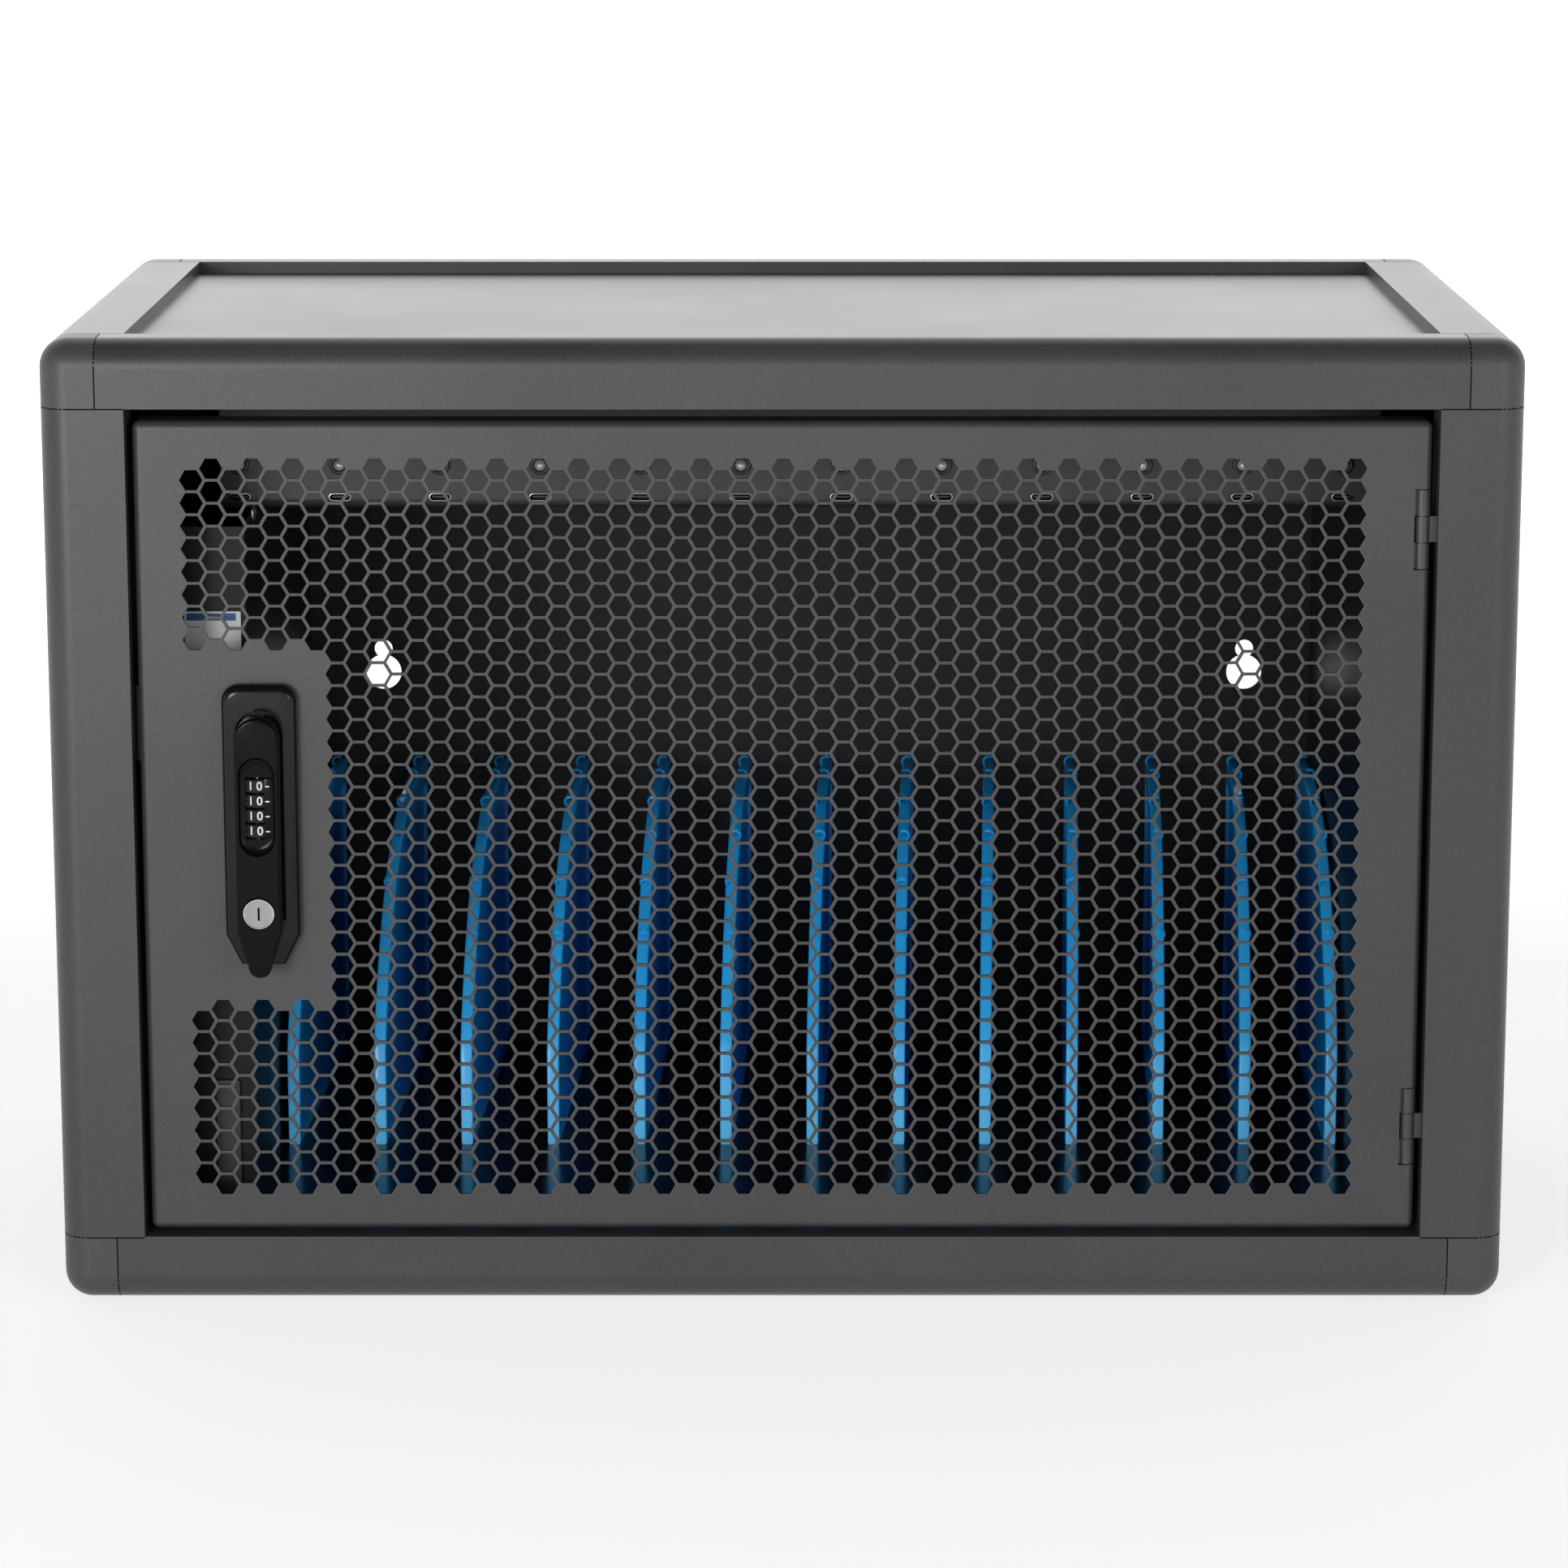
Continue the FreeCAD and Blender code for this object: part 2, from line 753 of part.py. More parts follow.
def make_ports():
    """Twelve socket shells, each a round-ended tube with a closed back and a contact tongue."""
    body = new_body("usb_c_ports")
    mouth = shelf_front - size.port_proud
    back = mouth + size.port_deep
    half_long = size.port_wide / 2
    half_short = size.port_tall / 2
    inside = port_outline(half_long - size.port_wall, half_short - size.port_wall)
    shell = pad(body, "y", mouth, back, port_outline(half_long, half_short), inside)
    plug = pad(body, "y", back - size.tongue_back, back, inside)
    reach = size.tongue_wide / 2
    half_thick = size.tongue_thick / 2
    blade = box(port_first - reach, port_first + reach, port_level - half_thick, port_level + half_thick)
    tongue = pad(body, "y", mouth + size.tongue_back, back - size.tongue_back, blade)
    repeat_along(body, [shell, plug, tongue], "X_Axis", port_span, port_count)
    keep(body)


def make_lamps():
    bezels = new_body("led_bezels")
    ring = polygon(port_first, lamp_level, size.bezel_radius, lamp_sides)
    hole = polygon(port_first, lamp_level, size.lamp_radius + size.lamp_slip, lamp_sides)
    bezel = pad(bezels, "y", shelf_front - size.bezel_thick, shelf_front, ring, hole)
    repeat_along(bezels, [bezel], "X_Axis", port_span, port_count)
    keep(bezels)
    lenses = new_body("led_lenses")
    tip = shelf_front - size.lamp_proud
    lamp = polygon(port_first, lamp_level, size.lamp_radius, lamp_sides)
    stem = pad(lenses, "y", tip, shelf_front + size.sheet, lamp)

    def is_tip(edge):
        return on_level(edge, "y", tip)

    nose = dress_edges(lenses, stem, "Chamfer", size.lamp_bevel, is_tip)
    repeat_along(lenses, [stem, nose], "X_Axis", port_span, port_count)
    keep(lenses)


# Power supply, mains inlet and switch

def make_supply():
    body = new_body("power_supply")
    right = bay_left - size.lining_sheet - size.supply_gap
    back = rear_panel_front - size.supply_setback
    plan = box(right - size.supply_wide, right, back - size.supply_deep, back)
    pad(body, "z", floor_top, floor_top + size.supply_tall, plan)
    keep(body)


def make_inlet():
    """One moulding with the three-blade inlet below and the well of the rocker switch above."""
    body = new_body("power_inlet")
    face = rear_panel_back + size.inlet_plate_thick
    plate_half = size.inlet_plate_wide / 2
    pad(body, "y", rear_panel_back, face, box(inlet_x - plate_half, inlet_x + plate_half, inlet_low, inlet_high))
    half = size.inlet_body_wide / 2
    tall = size.inlet_body_tall / 2
    block = box(inlet_x - half, inlet_x + half, inlet_middle - tall, inlet_middle + tall)
    pad(body, "y", rear_panel_back - size.inlet_body_deep, rear_panel_back, block)
    socket_z = inlet_low + size.socket_rise
    side = size.socket_wide / 2
    low = socket_z - size.socket_tall / 2
    high = socket_z + size.socket_tall / 2
    socket_end = face - size.socket_deep
    pocket(body, "y", socket_end, face, [
        (inlet_x - side, low),
        (inlet_x + side, low),
        (inlet_x + side, high - size.socket_chamfer),
        (inlet_x + side - size.socket_chamfer, high),
        (inlet_x - side + size.socket_chamfer, high),
        (inlet_x - side, high - size.socket_chamfer),
    ])
    blade_half = size.blade_wide / 2
    blade_tall = size.blade_tall / 2
    places = [(-1, -1), (0, 1), (1, -1)]
    blades = []
    for across, up in places:
        x = inlet_x + size.blade_spacing * across
        z = socket_z + blade_tall * up
        blades.append(box(x - blade_half, x + blade_half, z - blade_tall, z + blade_tall))
    pad(body, "y", socket_end, socket_end + size.blade_long, *blades)
    gap = size.switch_gap
    well_half = size.switch_wide / 2 + gap
    well_tall = size.rocker_radius + gap
    well_end = rocker_y - size.rocker_radius - gap
    well = box(inlet_x - well_half, inlet_x + well_half, switch_level - well_tall, switch_level + well_tall)
    pocket(body, "y", well_end, face, well)
    reach = size.switch_wide / 2 + size.trunnion_long + gap
    trunnion = circle(rocker_y, switch_level, size.trunnion_radius + size.running_gap)
    pocket(body, "x", inlet_x - reach, inlet_x + reach, trunnion)
    keep(body)


def make_rocker():
    """A round-backed rocker with a shallow vee face, on two trunnions."""
    body = new_body("switch_rocker")
    half = size.switch_wide / 2
    radius = size.rocker_radius
    rim = rocker_y + size.rocker_proud
    end = (radius * radius - size.rocker_proud * size.rocker_proud).root()
    profile = [
        (rim, switch_level - end, radius),
        (rim - size.rocker_fall, switch_level),
        (rim, switch_level + end),
        (rocker_y - radius, switch_level, radius),
    ]
    pad(body, "x", inlet_x - half, inlet_x + half, profile)
    reach = half + size.trunnion_long
    pad(body, "x", inlet_x - reach, inlet_x + reach, circle(rocker_y, switch_level, size.trunnion_radius))
    keep(body)


# Door with its perforation, and the barrel hinges

def make_hinges():
    """Welded barrels on the post and the door that share one pin at each end of the door."""
    half = size.knuckle_tall / 2
    far = half + size.knuckle_gap + size.knuckle_tall
    barrel = circle(hinge_x, hinge_y, size.door_round)
    web_half = size.knuckle_web / 2
    fixed = new_body("frame_hinge_knuckles")
    web = box(hinge_x, post_inner, hinge_y - web_half, hinge_y + web_half)
    features = [
        pad(fixed, "z", hinge_low - half, hinge_low + half, barrel),
        pad(fixed, "z", hinge_low - half, hinge_low + half, web),
        pocket(fixed, "z", hinge_low - half, hinge_low + half, circle(hinge_x, hinge_y, size.hinge_pin_radius)),
    ]
    repeat_along(fixed, features, "Z_Axis", hinge_span, 2)
    keep(fixed)
    pins = new_body("hinge_pins")
    pin = pad(pins, "z", hinge_low - far, hinge_low + far, circle(hinge_x, hinge_y, size.hinge_pin_radius))
    repeat_along(pins, [pin], "Z_Axis", hinge_span, 2)
    keep(pins)
    swinging = new_body("door_hinge_knuckles")
    tab = box(hinge_x - size.knuckle_tab, hinge_x, door_back, door_back + size.knuckle_tab_thick)
    bore = circle(hinge_x, hinge_y, size.hinge_pin_radius + size.running_gap)
    features = []
    for low, high in ((hinge_low - far, hinge_low - half - size.knuckle_gap),
                      (hinge_low + half + size.knuckle_gap, hinge_low + far)):
        features.append(pad(swinging, "z", low, high, barrel))
        features.append(pad(swinging, "z", low, high, tab))
    features.append(pocket(swinging, "z", hinge_low - far, hinge_low + far, bore))
    repeat_along(swinging, features, "Z_Axis", hinge_span, 2)
    keep(swinging)


def hexagon_grid():
    """Hexagonal prisms in staggered columns over the mesh field, left out over the lock's blank pad."""
    pitch = size.hex_pitch.value
    half_flat = (pitch - size.hex_web.value) / 2
    half_corner = half_flat / math.cos(math.pi / 6)
    spacing = pitch * math.cos(math.pi / 6)
    left_edge = (door_left + size.mesh_margin_left).value
    right_edge = (door_right - size.mesh_margin_right).value
    low_edge = (door_bottom + size.mesh_margin_end).value
    high_edge = (door_top - size.mesh_margin_end).value
    columns = int((right_edge - left_edge - 2 * half_corner) / spacing) + 1
    rows = int((high_edge - low_edge - 2 * half_flat) / pitch) + 1
    middle_x = (left_edge + right_edge) / 2
    middle_z = (low_edge + high_edge) / 2
    pad_right = (door_left + size.pad_wide).value
    pad_low = (spindle_z - size.pad_below).value
    pad_high = (spindle_z + size.pad_above).value
    start = (door_front - size.overrun).value
    depth = (size.door_sheet + size.overrun * 2).value
    prisms = []
    for column in range(columns):
        x = middle_x + (column - (columns - 1) / 2) * spacing
        holes = rows - column % 2
        for row in range(holes):
            z = middle_z + (row - (holes - 1) / 2) * pitch
            beside_pad = pad_low - half_flat < z < pad_high + half_flat
            if beside_pad and x - half_corner < pad_right:
                continue
            corners = []
            for turn in range(7):
                angle = turn * math.pi / 3
                corners.append(FreeCAD.Vector(x + half_corner * math.cos(angle), start,
                                              z + half_corner * math.sin(angle)))
            face = Part.Face(Part.makePolygon(corners))
            prisms.append(face.extrude(FreeCAD.Vector(0, depth, 0)))
    grid = doc.addObject("Part::Feature", "hexagon_grid")
    grid.Shape = Part.makeCompound(prisms)
    return grid


def make_door():
    """A folded tray door with rounded edges, a lock hole, hinge notches and the perforation."""
    blank = new_body("door_blank")
    block = pad(blank, "y", door_front, door_rear, box(door_left, door_right, door_bottom, door_top))

    def is_outer(edge):
        return on_level(edge, "y", door_front) or runs_along(edge, "y")

    dress_edges(blank, block, "Fillet", size.door_round, is_outer)
    wall = size.door_sheet
    hollow = box(door_left + wall, door_right - wall, door_bottom + wall, door_top - wall)
    pocket(blank, "y", door_back, door_rear, hollow)
    lock_hole = circle(lock_x, spindle_z, size.barrel_radius + size.barrel_slip)
    pocket(blank, "y", door_front, door_back, lock_hole)
    reach = size.knuckle_tall * 3 / 2 + size.knuckle_gap + size.notch_gap
    notch_left = hinge_x - size.door_round - size.notch_gap
    notches = []
    for level in (hinge_low, hinge_low + hinge_span):
        notches.append(box(notch_left, door_right + size.overrun, level - reach, level + reach))
    notch_end = hinge_y + size.door_round + size.notch_gap
    pocket(blank, "y", door_front - size.overrun, notch_end, *notches)
    panel = doc.addObject("Part::Cut", "door_panel")
    panel.Label = "door_panel"
    panel.Base = blank
    panel.Tool = hexagon_grid()
    keep(panel)


# Lock: housing, spindle, cam and strike

def make_housing():
    body = new_body("lock_housing")
    half = size.housing_wide / 2
    top = spindle_z + size.housing_above
    bottom = spindle_z - size.housing_below
    turn = size.housing_round
    toe = size.housing_toe_wide / 2
    plate = pad(body, "y", housing_front, door_front, [
        (lock_x - toe, bottom),
        (lock_x + toe, bottom),
        (lock_x + half, bottom + size.housing_toe_tall),
        (lock_x + half, top - turn),
        (lock_x + half - turn, top, turn),
        (lock_x - half + turn, top),
        (lock_x - half, top - turn, turn),
        (lock_x - half, bottom + size.housing_toe_tall),
    ])

    def is_face(edge):
        return on_level(edge, "y", housing_front)

    dress_edges(body, plate, "Fillet", size.edge_soften, is_face)
    pad(body, "y", door_front, barrel_end, circle(lock_x, spindle_z, size.barrel_radius))
    well = circle(lock_x, spindle_z, size.pivot_well_radius)
    pocket(body, "y", housing_front, well_floor, well)
    bore = circle(lock_x, spindle_z, size.spindle_radius + size.running_gap)
    pocket(body, "y", well_floor, barrel_end, bore)
    keep(body)
    nut = new_body("lock_nut")
    corner = size.nut_across / math.sqrt(3)
    hexagon = []
    for turn_number in range(6):
        angle = turn_number * math.pi / 3
        hexagon.append((lock_x + corner * math.cos(angle), spindle_z + corner * math.sin(angle)))
    hole = circle(lock_x, spindle_z, size.barrel_radius + size.barrel_slip)
    pad(nut, "y", door_back, door_back + size.nut_thick, hexagon, hole)
    keep(nut)


def make_spindle():
    """A shaft with a square end for the cam, and a fork tongue in front that carries the lever's pin."""
    body = new_body("spindle")
    disc_front = well_floor - size.spindle_disc_thick
    pad(body, "y", disc_front, well_floor, circle(lock_x, spindle_z, size.spindle_disc_radius))
    half = size.fork_half_tall
    tongue = [
        (disc_front, spindle_z - half),
        (disc_front, spindle_z + half),
        (pivot_y, spindle_z + half),
        (pivot_y - half, spindle_z, half),
        (pivot_y, spindle_z - half, half),
    ]
    fork_half = size.fork_wide / 2
    pad(body, "x", lock_x - fork_half, lock_x + fork_half, tongue)
    pin_hole = circle(pivot_y, spindle_z, size.pivot_pin_radius + size.running_gap)
    pocket(body, "x", lock_x - fork_half, lock_x + fork_half, pin_hole)
    pad(body, "y", well_floor, cam_front, circle(lock_x, spindle_z, size.spindle_radius))
    square = size.spindle_square / 2
    drive = box(lock_x - square, lock_x + square, spindle_z - square, spindle_z + square)
    pad(body, "y", cam_front, cam_rear + size.spindle_end, drive)
    keep(body)
    cam = new_body("cam_latch")
    wide = size.cam_half_wide
    plate = [
        (lock_x + wide, spindle_z),
        (lock_x, spindle_z + wide, wide),
        (lock_x - wide, spindle_z, wide),
        (lock_x - wide, spindle_z - size.cam_long),
        (lock_x + wide, spindle_z - size.cam_long),
    ]
    pad(cam, "y", cam_front, cam_rear, plate, drive)
    keep(cam)
    strike = new_body("strike_bracket")
    root = -post_inner
    thick = size.strike_thick
    angle_plan = [
        (root, strike_front),
        (root + size.strike_reach, strike_front),
        (root + size.strike_reach, strike_rear),
        (root + thick, strike_rear),
        (root + thick, strike_rear + size.strike_fold),
        (root, strike_rear + size.strike_fold),
    ]
    pad(strike, "z", spindle_z - size.strike_tall / 2, spindle_z + size.strike_tall / 2, angle_plan)
    keep(strike)


# Lever with its number wheels and key plug

def make_lever():
    body = new_body("lever")
    half = size.lever_half_wide
    tip = size.lever_tip_wide / 2
    end = spindle_z - size.lever_long
    blank = pad(body, "y", lever_front, lever_back, [
        (lock_x + half, spindle_z),
        (lock_x, spindle_z + half, half),
        (lock_x - half, spindle_z, half),
        (lock_x - half, end + size.lever_taper),
        (lock_x - tip, end),
        (lock_x + tip, end),
        (lock_x + half, end + size.lever_taper),
    ])

    def is_face(edge):
        return on_level(edge, "y", lever_front)

    dress_edges(body, blank, "Fillet", size.edge_soften, is_face)
    window = stadium(lock_x, spindle_z - size.window_drop, size.window_tall / 2, size.window_half_wide)
    pocket(body, "y", lever_front, lever_front + size.window_deep, window)
    room = size.dial_radius + size.dial_gap
    pocket(body, "y", lever_front, lever_back, box(lock_x - room, lock_x + room, dial_room_bottom, dial_room_top))
    gap = size.fork_gap
    slot = size.fork_wide / 2 + gap
    slot_low = spindle_z - size.fork_half_tall - gap
    slot_front = pivot_y - size.fork_half_tall - gap
    pocket(body, "y", slot_front, lever_back, box(lock_x - slot, lock_x + slot, slot_low, spindle_z + half))
    pocket(body, "x", lock_x - half, lock_x + half, circle(pivot_y, spindle_z, size.pivot_pin_radius))
    axle_low = dial_room_bottom - size.axle_overlap
    axle_high = dial_room_top + size.axle_overlap
    pocket(body, "z", axle_low, axle_high, circle(lock_x, dial_y, size.axle_radius))
    plug_hole = circle(lock_x, plug_z, size.plug_radius + size.running_gap)
    pocket(body, "y", lever_front, lever_back, plug_hole)
    keep(body)
    pin = new_body("pivot_pin")
    pin_half = size.pivot_pin_long / 2
    pad(pin, "x", lock_x - pin_half, lock_x + pin_half, circle(pivot_y, spindle_z, size.pivot_pin_radius))
    axle = new_body("dial_axle")
    pad(axle, "z", axle_low, axle_high, circle(lock_x, dial_y, size.axle_radius))
    keep(grouped("lever_pins", [pin, axle]))


def make_dials():
    """Ten-sided number wheels, one face to a digit, stacked on the axle."""
    hole = circle(lock_x, dial_y, size.axle_radius + size.running_gap)
    rim = []
    for number in range(dial_faces):
        angle = (number + 0.5) * 2 * math.pi / dial_faces
        rim.append((lock_x + size.dial_radius * math.sin(-angle), dial_y - size.dial_radius * math.cos(angle)))
    for number in range(dial_count):
        body = new_body(f"dial_{number + 1}")
        middle = dial_top - size.dial_pitch * number
        pad(body, "z", middle - size.dial_thick / 2, middle + size.dial_thick / 2, rim, hole)
        keep(body)


def make_plug():
    body = new_body("key_plug")
    face = lever_front - size.plug_proud
    pad(body, "y", face, lever_back - size.plug_back_gap, circle(lock_x, plug_z, size.plug_radius))
    wide = size.keyway_wide / 2
    tall = size.keyway_tall / 2
    keyway = box(lock_x - wide, lock_x + wide, plug_z - tall, plug_z + tall)
    pocket(body, "y", face, face + size.keyway_deep, keyway)
    keep(body)


def check_document():
    doc.recompute()
    for item in doc.Objects:
        if "Invalid" in item.State or "Error" in item.State:
            raise RuntimeError(f"{item.Label} did not build")
        if item.TypeId == "PartDesign::Pocket" and item.Shape.Volume >= item.BaseFeature.Shape.Volume:
            raise RuntimeError(f"{item.Label} cuts nothing")
    for label, piece in pieces.items():
        if piece.Shape.isNull() or not piece.Shape.isValid():
            raise RuntimeError(f"{label} has no valid shape")


make_frame()
make_corner_caps("top_corner_caps", head, size.height, size.height)
make_corner_caps("bottom_corner_caps", size.foot_tall, floor_top, size.foot_tall)
make_feet()
make_panels()
make_rear_panel()
make_lining()
make_tray()
make_dividers()
make_shelf()
make_ports()
make_lamps()
make_supply()
make_inlet()
make_rocker()
make_hinges()
make_door()
make_housing()
make_spindle()
make_lever()
make_dials()
make_plug()
check_document()

os.makedirs("parts", exist_ok=True)
for label, piece in pieces.items():
    piece.Shape.exportStep(f"parts/{label}.step")
    print(f"{label}: {len(piece.Shape.Solids)} solids, {piece.Shape.Volume:.1f} cubic millimetres")
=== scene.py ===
import bmesh
import bpy
import math
from mathutils import Matrix, Vector
from mathutils.geometry import delaunay_2d_cdt


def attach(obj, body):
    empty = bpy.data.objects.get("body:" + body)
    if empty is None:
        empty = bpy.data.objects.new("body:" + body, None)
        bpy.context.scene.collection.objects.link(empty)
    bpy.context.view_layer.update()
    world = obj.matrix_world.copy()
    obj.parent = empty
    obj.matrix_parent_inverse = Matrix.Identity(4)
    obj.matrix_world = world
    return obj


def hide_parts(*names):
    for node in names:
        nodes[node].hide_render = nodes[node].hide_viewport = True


# Dresses the charging cabinet: powder coat, the real perforation, lock details, bays and sockets.
# All stands in the frame of the solids. Pieces and the camera's place are written in millimetres and turned to
# metres with mm; looks, stage and lamps are written in metres.

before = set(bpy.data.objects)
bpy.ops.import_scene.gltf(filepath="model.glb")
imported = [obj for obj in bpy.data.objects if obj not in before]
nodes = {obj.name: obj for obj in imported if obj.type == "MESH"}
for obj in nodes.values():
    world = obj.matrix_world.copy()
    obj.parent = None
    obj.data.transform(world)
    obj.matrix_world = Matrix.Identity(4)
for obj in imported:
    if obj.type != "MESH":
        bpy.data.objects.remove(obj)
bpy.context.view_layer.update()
mm = 0.001
scene = bpy.context.scene
scene.view_settings.view_transform = "Standard"
print("frame loaded with", len(nodes), "nodes")


# Helpers for materials

def shaderNode(tree, kind, **settings):
    made = tree.nodes.new(kind)
    for name, value in settings.items():
        setattr(made, name, value)
    return made


def mathNode(tree, operation, first, second, **settings):
    made = shaderNode(tree, "ShaderNodeMath", operation=operation, **settings)
    tree.links.new(first, made.inputs[0])
    tree.links.new(second, made.inputs[1])
    return made.outputs["Value"]


def mapRange(tree, value, fromRange, toRange):
    made = shaderNode(tree, "ShaderNodeMapRange")
    for socket, number in zip(("From Min", "From Max", "To Min", "To Max"), (*fromRange, *toRange)):
        made.inputs[socket].default_value = number
    tree.links.new(value, made.inputs["Value"])
    return made.outputs["Result"]


def noiseNode(tree, vector, scale, detail, rough):
    made = shaderNode(tree, "ShaderNodeTexNoise")
    made.inputs["Scale"].default_value = scale
    made.inputs["Detail"].default_value = detail
    made.inputs["Roughness"].default_value = rough
    tree.links.new(vector, made.inputs["Vector"])
    return made.outputs["Fac"]


usualLook = dict(stretch=(1, 1, 1), mottle=14, mottleDetail=4, mottleRough=0.5, grain=900, grainDetail=3,
                 grainRough=0.6, grainShare=0.5, toneRange=(0.45, 1.0), bump=0.2, bumpDepth=0.0002,
                 sockets={})


def surfaceMaterial(name, look):
    # one recipe for coats, mouldings and metals: broad mottling for colour and gloss, fine grain for relief
    look = dict(usualLook, **look)
    material = bpy.data.materials.new(name)
    material.use_nodes = True
    tree = material.node_tree
    link = tree.links.new
    shader = tree.nodes["Principled BSDF"]
    place = shaderNode(tree, "ShaderNodeTexCoord")
    spread = shaderNode(tree, "ShaderNodeMapping")
    spread.inputs["Scale"].default_value = look["stretch"]
    link(place.outputs["Object"], spread.inputs["Vector"])
    vector = spread.outputs["Vector"]
    broad = noiseNode(tree, vector, look["mottle"], look["mottleDetail"], look["mottleRough"])
    fine = noiseNode(tree, vector, look["grain"], look["grainDetail"], look["grainRough"])

    blend = shaderNode(tree, "ShaderNodeMath", operation="MULTIPLY_ADD")
    blend.inputs[1].default_value = look["grainShare"]
    link(fine, blend.inputs[0])
    link(broad, blend.inputs[2])
    tone = shaderNode(tree, "ShaderNodeValToRGB")
    colours = (look["dark"], look["light"])
    for element, spot, colour in zip(tone.color_ramp.elements, look["toneRange"], colours):
        element.position = spot
        element.color = (*colour, 1)
    link(blend.outputs["Value"], tone.inputs["Fac"])
    link(tone.outputs["Color"], shader.inputs["Base Color"])
    link(mapRange(tree, broad, (0, 1), look["rough"]), shader.inputs["Roughness"])

    relief = shaderNode(tree, "ShaderNodeBump")
    relief.inputs["Strength"].default_value = look["bump"]
    relief.inputs["Distance"].default_value = look["bumpDepth"]
    link(fine, relief.inputs["Height"])
    link(relief.outputs["Normal"], shader.inputs["Normal"])
    for socket, value in look["sockets"].items():
        shader.inputs[socket].default_value = value
    return material


